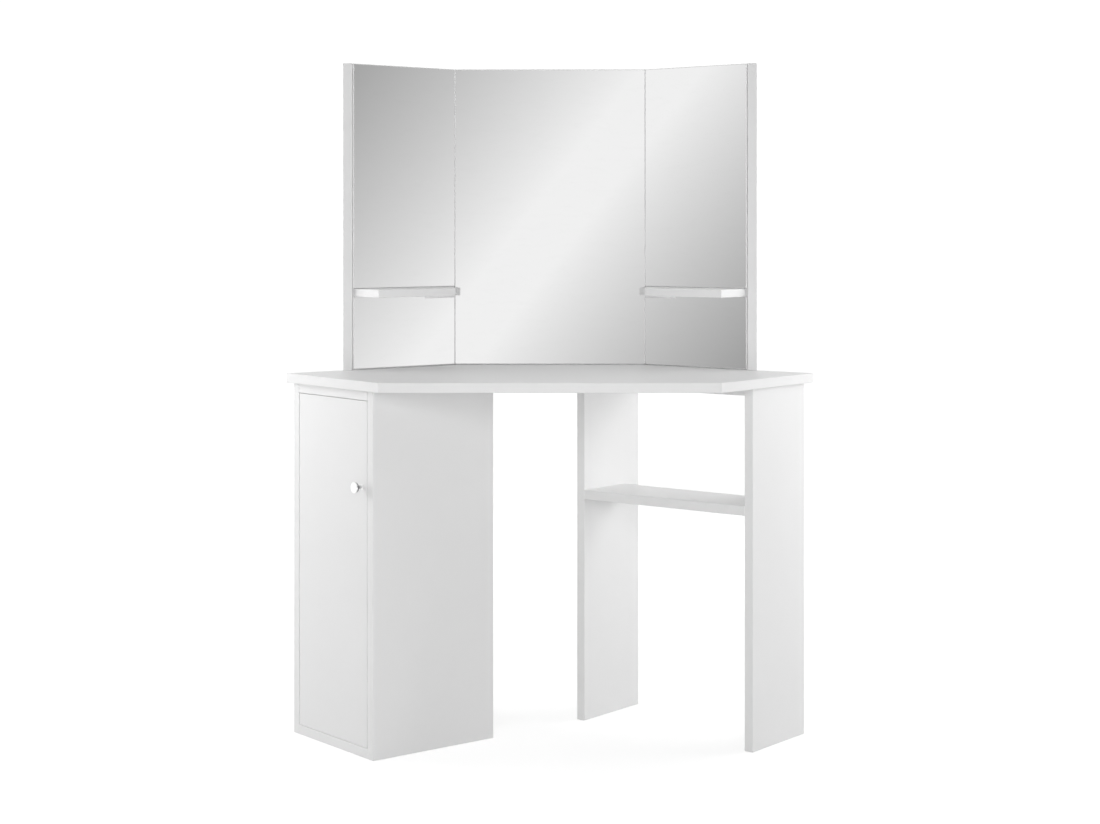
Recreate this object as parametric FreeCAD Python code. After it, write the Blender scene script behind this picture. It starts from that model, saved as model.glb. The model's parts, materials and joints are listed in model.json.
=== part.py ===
import FreeCAD, Part
import math
import os

from FreeCAD import Vector

os.makedirs("parts", exist_ok=True)

# Millimetres, +Z up, front towards -Y, origin on the floor under the middle of the table top.
LEFT = -1
RIGHT = 1
UP = Vector(0, 0, 1)

# Table top: a hexagon whose wings swing forward from a short rear edge
TABLE_WIDTH = 1110.0
TABLE_DEPTH = 540.0
TABLE_HEIGHT = 756.0
REAR_EDGE = 435.0
WING_ANGLE = 38.5
BOARD = 20.0
EDGE_EASE = 0.8

# Cabinet under the left wing, with its door on the outer edge
CABINET_WIDTH = 300.0
CABINET_DEPTH = 300.0
CABINET_FACE_INSET = 13.0
CABINET_WALL_INSET = 9.0
BACK_SHEET = 3.0
CABINET_SHELF = 16.0
CABINET_SHELF_HEIGHTS = {"lower": 255.0, "upper": 485.0}
CABINET_SHELF_SWING_FIT = 2.0
CABINET_SHELF_FIT = 1.0

# Shelf pins: a peg in the side panel and a flat pad under the shelf
PIN_PEG = 5.0
PIN_PEG_DEPTH = 8.0
PIN_PAD_WIDTH = 10.0
PIN_PAD_REACH = 9.0
PIN_PAD_THICK = 4.0
PIN_END = 40.0

# Door, set flush inside the cabinet's front edges
DOOR_THICK = 19.0
DOOR_GAP = 2.0
DOOR_END_GAP = 0.8
HINGE_GAP = 3.0

# Concealed cup hinges, given about the pivot: across the door, into the cabinet, up
HINGE_HEIGHTS = {"lower": 120.0, "upper": 616.0}
PIVOT_FROM_EDGE = 22.0
PIVOT_FROM_FACE = 10.5
PIVOT_PIN = 4.0
PIVOT_FIT = 0.05
PIVOT_PIN_LENGTH = 26.0
CUP_BORE = 35.0
CUP_DEPTH = 13.5
CUP_WALL = 1.0
CUP_FLOOR = 0.7
CUP_FLANGE = 1.2
CUP_FLANGE_LIP = 2.0
CUP_EAR_WIDTH = 22.0
CUP_EAR_HEIGHT = 62.0
CUP_SCREW_PITCH = 48.0
LUG_WIDTH = 7.2
LUG_HEIGHT = 10.0
ARM_HEIGHT = 12.0
ARM_SIDE_FIT = 0.4
ARM_EYE = 7.6
ARM_NECK = 4.0
ARM_NECK_ANGLE = 42.5
ARM_HOOK_START = 38.0
ARM_HOOK_END = 132.0
ARM_HOOK_FIT = 0.6
ARM_HOOK = 4.0
ARM_BAR = 6.0
ARM_BAR_START = 20.0
ARM_BAR_END = 80.0
HINGE_PLATE = 3.0
HINGE_PLATE_HEIGHT = 36.0
HINGE_PLATE_START = 24.0
HINGE_PLATE_SCREW_PITCH = 22.0
HINGE_PLATE_SCREW_AT = 46.0
ARM_SCREW_AT = 66.0

# Magnetic catch under the cabinet's top panel, and its strike plate on the door
CATCH_FROM_FREE_EDGE = 33.0
CATCH_WIDTH = 36.0
CATCH_DEPTH = 20.0
CATCH_HEIGHT = 13.0
CATCH_SCREW_PITCH = 26.0
MAGNET_WIDTH = 16.0
MAGNET_DEPTH = 12.0
MAGNET_HEIGHT = 7.0
MAGNET_PROUD = 1.0
STRIKE_THICK = 1.5
STRIKE_WIDTH = 30.0
STRIKE_HEIGHT = 11.0
STRIKE_AIR = 0.3
STRIKE_SCREW_PITCH = 20.0

# Door knob
KNOB_HEIGHT = 542.5
KNOB_FROM_CORNER = 37.0
KNOB_ROSE = 9.6
KNOB_ROSE_THICK = 2.0
KNOB_STEM = 7.0
KNOB_HEAD = 22.5
KNOB_HEAD_AT = 19.2
KNOB_HEAD_RIM = 2.2
KNOB_HEAD_FLARE = 6.5
KNOB_LENGTH = 22.0
KNOB_SCREW = 4.0
KNOB_SCREW_REACH = 10.0
KNOB_SCREW_HEAD = 8.0
KNOB_SCREW_HEAD_THICK = 2.2

# Open shelf stand under the right wing
STAND_LENGTH = 450.0
STAND_INSET = 9.0
LEG_WIDTH = 198.0
LEG_WALL_INSET = 23.0
LEG_SHELF_TOP = 497.0
LEG_SHELF_DEPTH = 143.0
LEG_RAIL = 15.0
LEG_RAIL_DEPTH = 100.0

# Mirror hutch on the table's back edges
OVERALL_HEIGHT = 1415.0
HUTCH_BOARD = 12.0
TAPE = 1.0
TAPE_WIDTH = 25.0
TAPE_INSET = 30.0
GLASS = 3.0
GLASS_FOOT = 2.2
GLASS_FIT = 0.5
GLASS_ARRIS = 1.2
SEAM_GAP = 0.8
STILE_WIDTH = 20.0
STILE_PROUD = 3.0
HUTCH_SIDE_INSET = 131.0
HUTCH_SHELF = 17.0
HUTCH_SHELF_TOP = 931.0
HUTCH_SHELF_DEPTH = 100.0
HUTCH_SHELF_FRONT = 200.0
HUTCH_SHELF_SEAM_GAP = 2.0

# Dowels and countersunk screws
DOWEL = 8.0
DOWEL_LENGTH = 30.0
DOWEL_IN_FACE = 12.0
DOWEL_IN_SIDE = 10.0
DOWEL_END = 45.0
CASE_DOWEL_END = 75.0
STAND_DOWEL_END = 22.5
FIT = 0.1
SCREW = 4.0
SCREW_HEAD = 8.0
SCREW_GRIP = 12.0
TABLE_SCREW_END = 88.0
TABLE_SCREW_SIDE = 45.0
SMALL_SCREW = 3.0
SMALL_SCREW_HEAD = 6.0
HUTCH_SCREW_GRIP = 30.0
HUTCH_SCREW_END = 60.0
SHELF_SCREW_GRIP = 28.0
SHELF_SCREW_END = 45.0

# Values worked out from the sizes above
WING = math.radians(WING_ANGLE)
COS = math.cos(WING)
SIN = math.sin(WING)
REAR_Y = TABLE_DEPTH / 2
FRONT_Y = -TABLE_DEPTH / 2
CORNER_Y = REAR_Y - (TABLE_WIDTH - REAR_EDGE) / 2 * math.tan(WING)
WING_LENGTH = (TABLE_WIDTH - REAR_EDGE) / 2 / COS
OUTER_EDGE = (CORNER_Y - FRONT_Y) / COS
MITRE = math.tan(WING / 2)
UNDERSIDE = TABLE_HEIGHT - BOARD

CABINET_BACK = CABINET_FACE_INSET + CABINET_DEPTH
CABINET_ROOM_SIDE = CABINET_WALL_INSET + CABINET_WIDTH
BAY_START = CABINET_WALL_INSET + BOARD
BAY_END = CABINET_ROOM_SIDE - BOARD
DOOR_START = BAY_START + HINGE_GAP
DOOR_WIDTH = BAY_END - DOOR_GAP - DOOR_START
DOOR_BOTTOM = BOARD + DOOR_END_GAP
DOOR_TOP = UNDERSIDE - BOARD - DOOR_END_GAP

PIVOT_ALONG = CABINET_FACE_INSET + PIVOT_FROM_FACE
PIVOT_OUT = DOOR_START + PIVOT_FROM_EDGE
DOOR_BACK = DOOR_THICK - PIVOT_FROM_FACE
SIDE_FACE = -PIVOT_FROM_EDGE - HINGE_GAP
CUP_BOTTOM = DOOR_BACK - CUP_DEPTH
DOOR_SWING = math.hypot(PIVOT_FROM_EDGE, PIVOT_FROM_FACE)
ARM_HOOK_INNER = DOOR_SWING + ARM_HOOK_FIT
FREE_EDGE = DOOR_WIDTH - PIVOT_FROM_EDGE
CABINET_SHELF_START = PIVOT_ALONG + DOOR_SWING + CABINET_SHELF_SWING_FIT
CATCH_AT = FREE_EDGE - CATCH_FROM_FREE_EDGE
CATCH_FRONT = DOOR_BACK + STRIKE_THICK + STRIKE_AIR + MAGNET_PROUD
CATCH_TOP = UNDERSIDE - BOARD
KNOB_AT = CABINET_ROOM_SIDE - KNOB_FROM_CORNER - PIVOT_OUT

STAND_END = STAND_INSET + STAND_LENGTH
LEG_FRONT = LEG_WALL_INSET + LEG_WIDTH
BAY_INNER = (STAND_INSET + BOARD, STAND_END - BOARD)

HUTCH_HALF = TABLE_WIDTH / 2 - HUTCH_SIDE_INSET
GLASS_BACK = HUTCH_BOARD + TAPE
GLASS_FACE = GLASS_BACK + GLASS
HUTCH_SHELF_BOTTOM = HUTCH_SHELF_TOP - HUTCH_SHELF
HUTCH_SHELF_OUT = HUTCH_BOARD + HUTCH_SHELF_DEPTH
GLASS_BOTTOM = TABLE_HEIGHT + GLASS_FOOT
GLASS_TOP = OVERALL_HEIGHT - GLASS_FIT

parts = {}


def at(side, along, out, height=0.0):
    """Point of a wing: along its back edge from the outer corner, out from that edge, and up."""
    x = side * (TABLE_WIDTH / 2 - along * COS - out * SIN)
    y = CORNER_Y + along * SIN - out * COS
    return Vector(x, y, height)


def along_way(side):
    """Direction along a wing's back edge, from the outer corner to the rear edge."""
    return Vector(-side * COS, SIN, 0)


def out_way(side):
    """Direction square to a wing's back edge, into the room."""
    return Vector(-side * SIN, -COS, 0)


def slab(corners, bottom, top):
    """Upright prism over a plan outline."""
    ring = [Vector(corner.x, corner.y, bottom) for corner in corners]
    face = Part.Face(Part.makePolygon(ring + ring[:1]))
    return face.extrude(UP * (top - bottom))


def wing_slab(side, outline, bottom, top):
    """Prism over an outline given as (along, out) pairs of one wing."""
    return slab([at(side, along, out) for along, out in outline], bottom, top)


def wing_board(side, along, out, bottom, top):
    """Rectangular board square to a wing, from (start, end) pairs along and out."""
    outline = [(along[0], out[0]), (along[1], out[0]), (along[1], out[1]), (along[0], out[1])]
    return wing_slab(side, outline, bottom, top)


def eased(shape):
    """Board with every edge lightly eased, as banded board is."""
    return shape.makeChamfer(EDGE_EASE, shape.Edges)


def arrised(pane):
    """Glass pane with its sharp edges ground off."""
    return pane.makeChamfer(GLASS_ARRIS, pane.Edges)


def block(across, inward, up):
    """Box from three (low, high) pairs."""
    size = [high - low for low, high in (across, inward, up)]
    return Part.makeBox(*size, Vector(across[0], inward[0], up[0]))


def rod(start, way, diameter, length):
    return Part.makeCylinder(diameter / 2, length, start, way)


def screw(seat, way, length, shank=SCREW, head=SCREW_HEAD, fit=0.0):
    """Countersunk screw with its flat head at seat; with a fit, the hole that takes it."""
    sink = (head - shank) / 2
    cone = Part.makeCone(head / 2 + fit, shank / 2 + fit, sink, seat, way)
    return cone.fuse(rod(seat, way, shank + 2 * fit, length + fit)).removeSplitter()


def dowel(seat, way, into, fit=0.0):
    """Dowel across a joint at seat, reaching back into the board behind it; with a fit, its hole."""
    start = seat - way * (into + fit)
    return rod(start, way, DOWEL + 2 * fit, DOWEL_LENGTH + 2 * fit)


def group(solids):
    return Part.makeCompound(solids)


def spread(low, high, inset):
    """Two places, each one inset from an end."""
    return [low + inset, high - inset]


def pivot_frame(height=0.0):
    """Placement of the door's pivot: X across the door to its free edge, Y into the cabinet."""
    turn = FreeCAD.Rotation(UP, WING_ANGLE - 90.0)
    return FreeCAD.Placement(at(LEFT, PIVOT_ALONG, PIVOT_OUT, height), turn)


def hang(shape, height=0.0):
    """Shape drawn about the pivot, moved to its place on the cabinet."""
    moved = shape.copy()
    moved.Placement = pivot_frame(height).multiply(moved.Placement)
    return moved


# Places of the dowels and screws, each as a seat and a direction
cabinet_sides = {
    "wall": (CABINET_WALL_INSET, BAY_START),
    "knee": (BAY_END, CABINET_ROOM_SIDE),
}
legs = {
    "outer": (STAND_INSET, STAND_INSET + BOARD),
    "inner": (STAND_END - BOARD, STAND_END),
}
cabinet_span = spread(CABINET_FACE_INSET, CABINET_BACK, DOWEL_END)
case_span = spread(CABINET_FACE_INSET, CABINET_BACK, CASE_DOWEL_END)
leg_span = spread(LEG_WALL_INSET, LEG_FRONT, DOWEL_END)

table_dowels = [
    at(LEFT, along, sum(side) / 2, UNDERSIDE)
    for side in cabinet_sides.values()
    for along in cabinet_span
]
table_dowels += [
    at(RIGHT, sum(leg) / 2, out, UNDERSIDE)
    for leg in legs.values()
    for out in leg_span
]

cabinet_dowels = [
    (at(LEFT, along, out, height), out_way(LEFT) * turn)
    for out, turn in ((BAY_START, 1), (BAY_END, -1))
    for height in (BOARD / 2, UNDERSIDE - BOARD / 2)
    for along in case_span
]

stand_dowels = [
    (at(RIGHT, along, out, height), along_way(RIGHT) * turn)
    for along, turn in ((BAY_INNER[0], 1), (BAY_INNER[1], -1))
    for height, depth in (
        (LEG_SHELF_TOP - BOARD / 2, LEG_SHELF_DEPTH),
        (UNDERSIDE - LEG_RAIL / 2, LEG_RAIL_DEPTH),
    )
    for out in spread(LEG_FRONT - depth, LEG_FRONT, STAND_DOWEL_END)
]

cabinet_screws = [
    at(LEFT, along, out, UNDERSIDE - BOARD)
    for along in spread(CABINET_FACE_INSET, CABINET_BACK, TABLE_SCREW_END)
    for out in spread(BAY_START, BAY_END, TABLE_SCREW_SIDE)
]
rail_screws = [
    at(RIGHT, along, LEG_FRONT - LEG_RAIL_DEPTH / 2, UNDERSIDE - LEG_RAIL)
    for along in spread(*BAY_INNER, TABLE_SCREW_END)
]


def stile_along(out):
    """Place along a wing of the end stile's inner face, which runs straight front to back."""
    return (TABLE_WIDTH / 2 - HUTCH_HALF - out * SIN) / COS


STILE_FRONT_Y = at(RIGHT, stile_along(GLASS_FACE), GLASS_FACE).y - STILE_PROUD
STILE_REAR_Y = CORNER_Y + (TABLE_WIDTH / 2 - HUTCH_HALF - STILE_WIDTH) * math.tan(WING)
HUTCH_SHELF_END = stile_along(HUTCH_BOARD) + GLASS_FIT

hutch_screws = [
    Vector(x, REAR_Y - HUTCH_BOARD / 2, UNDERSIDE)
    for x in spread(-REAR_EDGE / 2, REAR_EDGE / 2, HUTCH_SCREW_END)
]
hutch_screws += [
    at(side, along, HUTCH_BOARD / 2, UNDERSIDE)
    for side in (LEFT, RIGHT)
    for along in spread(stile_along(0), WING_LENGTH, HUTCH_SCREW_END)
]
hutch_screws += [
    Vector(side * (HUTCH_HALF + STILE_WIDTH / 2), (STILE_FRONT_Y + STILE_REAR_Y) / 2, UNDERSIDE)
    for side in (LEFT, RIGHT)
]

shelf_screws = {
    side: [
        at(side, along, 0, HUTCH_SHELF_TOP - HUTCH_SHELF / 2)
        for along in spread(HUTCH_SHELF_END, HUTCH_SHELF_END + HUTCH_SHELF_FRONT, SHELF_SCREW_END)
    ]
    for side in (LEFT, RIGHT)
}


def drilled(shape, cutters):
    return shape.cut(group(cutters)) if cutters else shape


def table_dowel_holes():
    into = DOWEL_LENGTH - DOWEL_IN_FACE
    return [dowel(seat, UP, into, FIT) for seat in table_dowels]


def make_table_top():
    outline = [
        Vector(-REAR_EDGE / 2, REAR_Y, 0),
        at(LEFT, 0, 0),
        at(LEFT, 0, OUTER_EDGE),
        at(RIGHT, 0, OUTER_EDGE),
        at(RIGHT, 0, 0),
        Vector(REAR_EDGE / 2, REAR_Y, 0),
    ]
    top = eased(slab(outline, UNDERSIDE, TABLE_HEIGHT))
    holes = table_dowel_holes()
    holes += [screw(seat, UP, BOARD + SCREW_GRIP, fit=FIT) for seat in cabinet_screws]
    holes += [screw(seat, UP, LEG_RAIL + SCREW_GRIP, fit=FIT) for seat in rail_screws]
    holes += [screw(seat, UP, BOARD + HUTCH_SCREW_GRIP, fit=FIT) for seat in hutch_screws]
    parts["table_top"] = drilled(top, holes)


def pin_seats(out):
    """Places of the pins on one side panel's inner face: along the side and shelf height."""
    return [
        (along, out, height)
        for height in CABINET_SHELF_HEIGHTS.values()
        for along in spread(CABINET_SHELF_START, CABINET_BACK - BACK_SHEET, PIN_END)
    ]


def make_cabinet_case():
    into = (CABINET_FACE_INSET, CABINET_BACK)
    before_sheet = (CABINET_FACE_INSET, CABINET_BACK - BACK_SHEET)
    bay = (BAY_START, BAY_END)
    joints = [dowel(seat, way, DOWEL_IN_SIDE, FIT) for seat, way in cabinet_dowels]
    for name, out in cabinet_sides.items():
        panel = eased(wing_board(LEFT, into, out, 0, UNDERSIDE))
        holes = joints + table_dowel_holes()
        inner, turn = (out[1], -1) if name == "wall" else (out[0], 1)
        for along, face, height in pin_seats(inner):
            mouth = at(LEFT, along, face, height - PIN_PAD_THICK / 2)
            holes.append(rod(mouth, out_way(LEFT) * turn, PIN_PEG + 2 * FIT, PIN_PEG_DEPTH + FIT))
        if name == "wall":
            holes += [hang(hole, height) for height in HINGE_HEIGHTS.values() for hole in plate_screws(FIT)]
        parts[f"cabinet_{name}_side"] = drilled(panel, holes)
    top = eased(wing_board(LEFT, before_sheet, bay, UNDERSIDE - BOARD, UNDERSIDE))
    seats = [screw(seat, UP, BOARD + SCREW_GRIP, fit=FIT) for seat in cabinet_screws]
    seats += [hang(hole) for hole in catch_screws(FIT)]
    parts["cabinet_top_panel"] = drilled(top, joints + seats)
    bottom = eased(wing_board(LEFT, before_sheet, bay, 0, BOARD))
    parts["cabinet_bottom_panel"] = drilled(bottom, joints)
    sheet = (CABINET_BACK - BACK_SHEET, CABINET_BACK)
    parts["cabinet_back_sheet"] = wing_board(LEFT, sheet, bay, 0, UNDERSIDE)


def make_cabinet_shelves():
    along = (CABINET_SHELF_START, CABINET_BACK - BACK_SHEET - CABINET_SHELF_FIT)
    out = (BAY_START + CABINET_SHELF_FIT, BAY_END - CABINET_SHELF_FIT)
    for name, height in CABINET_SHELF_HEIGHTS.items():
        shelf = wing_board(LEFT, along, out, height, height + CABINET_SHELF)
        parts[f"cabinet_{name}_shelf"] = eased(shelf)
    pins = []
    for inner, turn in ((BAY_START, 1), (BAY_END, -1)):
        way = out_way(LEFT) * turn
        for place, face, height in pin_seats(inner):
            middle = height - PIN_PAD_THICK / 2
            peg = rod(at(LEFT, place, face, middle) - way * PIN_PEG_DEPTH, way, PIN_PEG, PIN_PEG_DEPTH)
            ends = sorted((face, face + turn * PIN_PAD_REACH))
            width = (place - PIN_PAD_WIDTH / 2, place + PIN_PAD_WIDTH / 2)
            pad = wing_board(LEFT, width, ends, height - PIN_PAD_THICK, height)
            pins.append(pad.fuse(peg))
    parts["cabinet_shelf_pins"] = group(pins)


def cup_screws(fit=0.0):
    """Screws of one hinge cup's ears, into the door's back."""
    seat = DOOR_BACK + CUP_FLANGE
    return [
        screw(Vector(0, seat, turn * CUP_SCREW_PITCH / 2), Vector(0, -1, 0), SCREW_GRIP,
              SMALL_SCREW, SMALL_SCREW_HEAD, fit)
        for turn in (-1, 1)
    ]


def plate_screws(fit=0.0):
    """Screws of one hinge's mounting plate, into the cabinet's side."""
    seat = SIDE_FACE + HINGE_PLATE
    return [
        screw(Vector(seat, HINGE_PLATE_SCREW_AT, turn * HINGE_PLATE_SCREW_PITCH / 2),
              Vector(-1, 0, 0), HINGE_PLATE + SCREW_GRIP, SMALL_SCREW, SMALL_SCREW_HEAD, fit)
        for turn in (-1, 1)
    ]


def arm_screw(fit=0.0):
    """Screw that holds one hinge arm on its plate."""
    seat = Vector(SIDE_FACE + HINGE_PLATE + ARM_BAR, ARM_SCREW_AT, 0)
    return screw(seat, Vector(-1, 0, 0), ARM_BAR + HINGE_PLATE, fit=fit)


def catch_screws(fit=0.0):
    """Screws of the magnetic catch, up into the cabinet's top panel."""
    return [
        screw(Vector(CATCH_AT + turn * CATCH_SCREW_PITCH / 2, CATCH_FRONT + CATCH_DEPTH / 2,
                     CATCH_TOP - CATCH_HEIGHT), UP, CATCH_HEIGHT + SCREW_GRIP,
              SMALL_SCREW, SMALL_SCREW_HEAD, fit)
        for turn in (-1, 1)
    ]


def strike_screws(fit=0.0):
    """Screws of the strike plate, into the door's back."""
    height = DOOR_TOP - STRIKE_HEIGHT / 2 - EDGE_EASE
    return [
        screw(Vector(CATCH_AT + turn * STRIKE_SCREW_PITCH / 2, DOOR_BACK + STRIKE_THICK, height),
              Vector(0, -1, 0), SCREW_GRIP, SMALL_SCREW, SMALL_SCREW_HEAD, fit)
        for turn in (-1, 1)
    ]


def knob_screw(fit=0.0):
    """Screw from the door's back into the knob; with a fit, the hole that it passes."""
    inward = Vector(0, -1, 0)
    seat = Vector(KNOB_AT, DOOR_BACK, KNOB_HEIGHT)
    return rod(seat, inward, KNOB_SCREW + 2 * fit, DOOR_THICK + KNOB_SCREW_REACH + fit)


def make_door():
    width = (-PIVOT_FROM_EDGE, FREE_EDGE)
    door = eased(block(width, (-PIVOT_FROM_FACE, DOOR_BACK), (DOOR_BOTTOM, DOOR_TOP)))
    holes = [knob_screw(FIT)] + strike_screws(FIT)
    for height in HINGE_HEIGHTS.values():
        lift = UP * height
        bore = rod(Vector(0, CUP_BOTTOM, 0), Vector(0, 1, 0), CUP_BORE, CUP_DEPTH)
        for hole in [bore] + cup_screws(FIT):
            hole.translate(lift)
            holes.append(hole)
    parts["cabinet_door"] = hang(drilled(door, holes))


def make_knob():
    """Knob turned about its own axis: rose, slim stem and a flaring disc with a slightly crowned face."""
    base = Vector()
    head = KNOB_HEAD / 2
    stem = KNOB_STEM / 2
    neck_end = KNOB_HEAD_AT - KNOB_HEAD_FLARE
    rim_end = KNOB_HEAD_AT + KNOB_HEAD_RIM
    crown_rise = KNOB_LENGTH - rim_end
    crown_radius = (head ** 2 + crown_rise ** 2) / (2 * crown_rise)
    lean = math.asin(head / crown_radius) / 2
    crown_drop = crown_radius * (1 - math.cos(lean))
    crown_mid = Vector(crown_radius * math.sin(lean), 0, KNOB_LENGTH - crown_drop)
    quarter = math.sqrt(0.5)
    flare_mid = Vector(stem + (head - stem) * quarter, 0, KNOB_HEAD_AT - KNOB_HEAD_FLARE * quarter)
    corners = [
        Vector(0, 0, KNOB_LENGTH),
        base,
        Vector(KNOB_ROSE / 2, 0, 0),
        Vector(KNOB_ROSE / 2, 0, KNOB_ROSE_THICK),
        Vector(stem, 0, KNOB_ROSE_THICK),
        Vector(stem, 0, neck_end),
        Vector(head, 0, KNOB_HEAD_AT),
        Vector(head, 0, rim_end),
    ]
    edges = [Part.makeLine(start, end) for start, end in zip(corners[:5], corners[1:6])]
    edges.append(Part.Arc(corners[5], flare_mid, corners[6]).toShape())
    edges.append(Part.makeLine(corners[6], corners[7]))
    edges.append(Part.Arc(corners[7], crown_mid, corners[0]).toShape())
    turned = Part.Face(Part.Wire(edges)).revolve(base, UP, 360)
    knob = turned.cut(rod(base, UP, KNOB_SCREW + 2 * FIT, KNOB_SCREW_REACH + FIT))
    knob.rotate(base, Vector(1, 0, 0), 90)
    knob.translate(Vector(KNOB_AT, -PIVOT_FROM_FACE, KNOB_HEIGHT))
    parts["door_knob"] = hang(knob)
    seat = Vector(KNOB_AT, DOOR_BACK, KNOB_HEIGHT)
    cap = rod(seat, Vector(0, 1, 0), KNOB_SCREW_HEAD, KNOB_SCREW_HEAD_THICK)
    parts["door_knob_screw"] = hang(cap.fuse(knob_screw()).removeSplitter())


def hinge_cup():
    """Pressed cup with a flange, ears and two lugs that hold the pivot pin."""
    inward = Vector(0, 1, 0)
    outer = rod(Vector(0, CUP_BOTTOM, 0), inward, CUP_BORE, CUP_DEPTH)
    flange = rod(Vector(0, DOOR_BACK, 0), inward, CUP_BORE + 2 * CUP_FLANGE_LIP, CUP_FLANGE)
    ears = block((-CUP_EAR_WIDTH / 2, CUP_EAR_WIDTH / 2), (DOOR_BACK, DOOR_BACK + CUP_FLANGE),
                 (-CUP_EAR_HEIGHT / 2, CUP_EAR_HEIGHT / 2))
    floor = CUP_BOTTOM + CUP_FLOOR
    hollow = rod(Vector(0, floor, 0), inward, CUP_BORE - 2 * CUP_WALL, CUP_DEPTH + CUP_FLANGE)
    shell = outer.fuse([flange, ears]).cut(hollow)
    start = ARM_HEIGHT / 2 + ARM_SIDE_FIT
    lugs = []
    for turn in (-1, 1):
        ends = sorted((turn * start, turn * (start + LUG_HEIGHT)))
        lug = block((-LUG_WIDTH / 2, LUG_WIDTH / 2), (floor - CUP_FLOOR / 2, LUG_WIDTH / 2), ends)
        lugs.append(lug.common(outer))
    pin_hole = rod(Vector(0, 0, -PIVOT_PIN_LENGTH / 2), UP, PIVOT_PIN + 2 * PIVOT_FIT, PIVOT_PIN_LENGTH)
    cup = shell.fuse(lugs).removeSplitter().cut(pin_hole)
    return drilled(cup, cup_screws(FIT))


def hinge_arm():
    """Arm from the pivot round the door's edge to its bar on the cabinet's side."""
    low = Vector(0, 0, -ARM_HEIGHT / 2)
    thick = (-ARM_HEIGHT / 2, ARM_HEIGHT / 2)
    hook_outer = ARM_HOOK_INNER + ARM_HOOK
    eye = rod(low, UP, ARM_EYE, ARM_HEIGHT)
    neck = block((0, ARM_HOOK_INNER + ARM_HOOK / 2), (-ARM_NECK / 2, ARM_NECK / 2), thick)
    neck.rotate(Vector(), UP, ARM_NECK_ANGLE)
    sweep = ARM_HOOK_END - ARM_HOOK_START
    sector = Part.makeCylinder(hook_outer, ARM_HEIGHT, low, UP, sweep)
    sector.rotate(Vector(), UP, ARM_HOOK_START)
    hook = sector.cut(rod(low, UP, 2 * ARM_HOOK_INNER, ARM_HEIGHT))
    seat = SIDE_FACE + HINGE_PLATE
    bar = block((seat, seat + ARM_BAR), (ARM_BAR_START, ARM_BAR_END), thick)
    arm = eye.fuse([neck, hook, bar]).removeSplitter()
    hole = rod(low, UP, PIVOT_PIN + 2 * PIVOT_FIT, ARM_HEIGHT)
    return drilled(arm, [hole, arm_screw(FIT)])


def hinge_plate():
    """Mounting plate on the cabinet's side, under the arm's bar."""
    plate = block((SIDE_FACE, SIDE_FACE + HINGE_PLATE), (HINGE_PLATE_START, ARM_BAR_END),
                  (-HINGE_PLATE_HEIGHT / 2, HINGE_PLATE_HEIGHT / 2))
    return drilled(plate, plate_screws(FIT) + [arm_screw(FIT)])


def make_hinges():
    door_screws = []
    case_screws = []
    arm_screws = []
    for name, height in HINGE_HEIGHTS.items():
        pin = rod(Vector(0, 0, -PIVOT_PIN_LENGTH / 2), UP, PIVOT_PIN, PIVOT_PIN_LENGTH)
        parts[f"{name}_hinge_cup"] = hang(hinge_cup(), height)
        parts[f"{name}_hinge_pin"] = hang(pin, height)
        parts[f"{name}_hinge_arm"] = hang(hinge_arm(), height)
        parts[f"{name}_hinge_plate"] = hang(hinge_plate(), height)
        door_screws += [hang(each, height) for each in cup_screws()]
        case_screws += [hang(each, height) for each in plate_screws()]
        arm_screws.append(hang(arm_screw(), height))
    parts["hinge_cup_screws"] = group(door_screws)
    parts["hinge_plate_screws"] = group(case_screws)
    parts["hinge_arm_screws"] = group(arm_screws)


def make_catch():
    half = CATCH_WIDTH / 2
    body = block((CATCH_AT - half, CATCH_AT + half), (CATCH_FRONT, CATCH_FRONT + CATCH_DEPTH),
                 (CATCH_TOP - CATCH_HEIGHT, CATCH_TOP))
    middle = DOOR_TOP - STRIKE_HEIGHT / 2 - EDGE_EASE
    magnet = block((CATCH_AT - MAGNET_WIDTH / 2, CATCH_AT + MAGNET_WIDTH / 2),
                   (CATCH_FRONT - MAGNET_PROUD, CATCH_FRONT - MAGNET_PROUD + MAGNET_DEPTH),
                   (middle - MAGNET_HEIGHT / 2, middle + MAGNET_HEIGHT / 2))
    parts["catch_body"] = hang(drilled(body.cut(magnet), catch_screws(FIT)))
    parts["catch_magnet"] = hang(magnet)
    parts["catch_screws"] = hang(group(catch_screws()))
    strike = block((CATCH_AT - STRIKE_WIDTH / 2, CATCH_AT + STRIKE_WIDTH / 2),
                   (DOOR_BACK, DOOR_BACK + STRIKE_THICK),
                   (middle - STRIKE_HEIGHT / 2, middle + STRIKE_HEIGHT / 2))
    parts["strike_plate"] = hang(drilled(strike, strike_screws(FIT)))
    parts["strike_screws"] = hang(group(strike_screws()))


def make_stand():
    joints = [dowel(seat, way, DOWEL_IN_SIDE, FIT) for seat, way in stand_dowels]
    for name, along in legs.items():
        leg = eased(wing_board(RIGHT, along, (LEG_WALL_INSET, LEG_FRONT), 0, UNDERSIDE))
        parts[f"{name}_leg"] = drilled(leg, joints + table_dowel_holes())
    depth = (LEG_FRONT - LEG_SHELF_DEPTH, LEG_FRONT)
    shelf = eased(wing_board(RIGHT, BAY_INNER, depth, LEG_SHELF_TOP - BOARD, LEG_SHELF_TOP))
    parts["stand_shelf"] = drilled(shelf, joints)
    depth = (LEG_FRONT - LEG_RAIL_DEPTH, LEG_FRONT)
    rail = eased(wing_board(RIGHT, BAY_INNER, depth, UNDERSIDE - LEG_RAIL, UNDERSIDE))
    seats = [screw(seat, UP, LEG_RAIL + SCREW_GRIP, fit=FIT) for seat in rail_screws]
    parts["stand_rail"] = drilled(rail, joints + seats)


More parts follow.
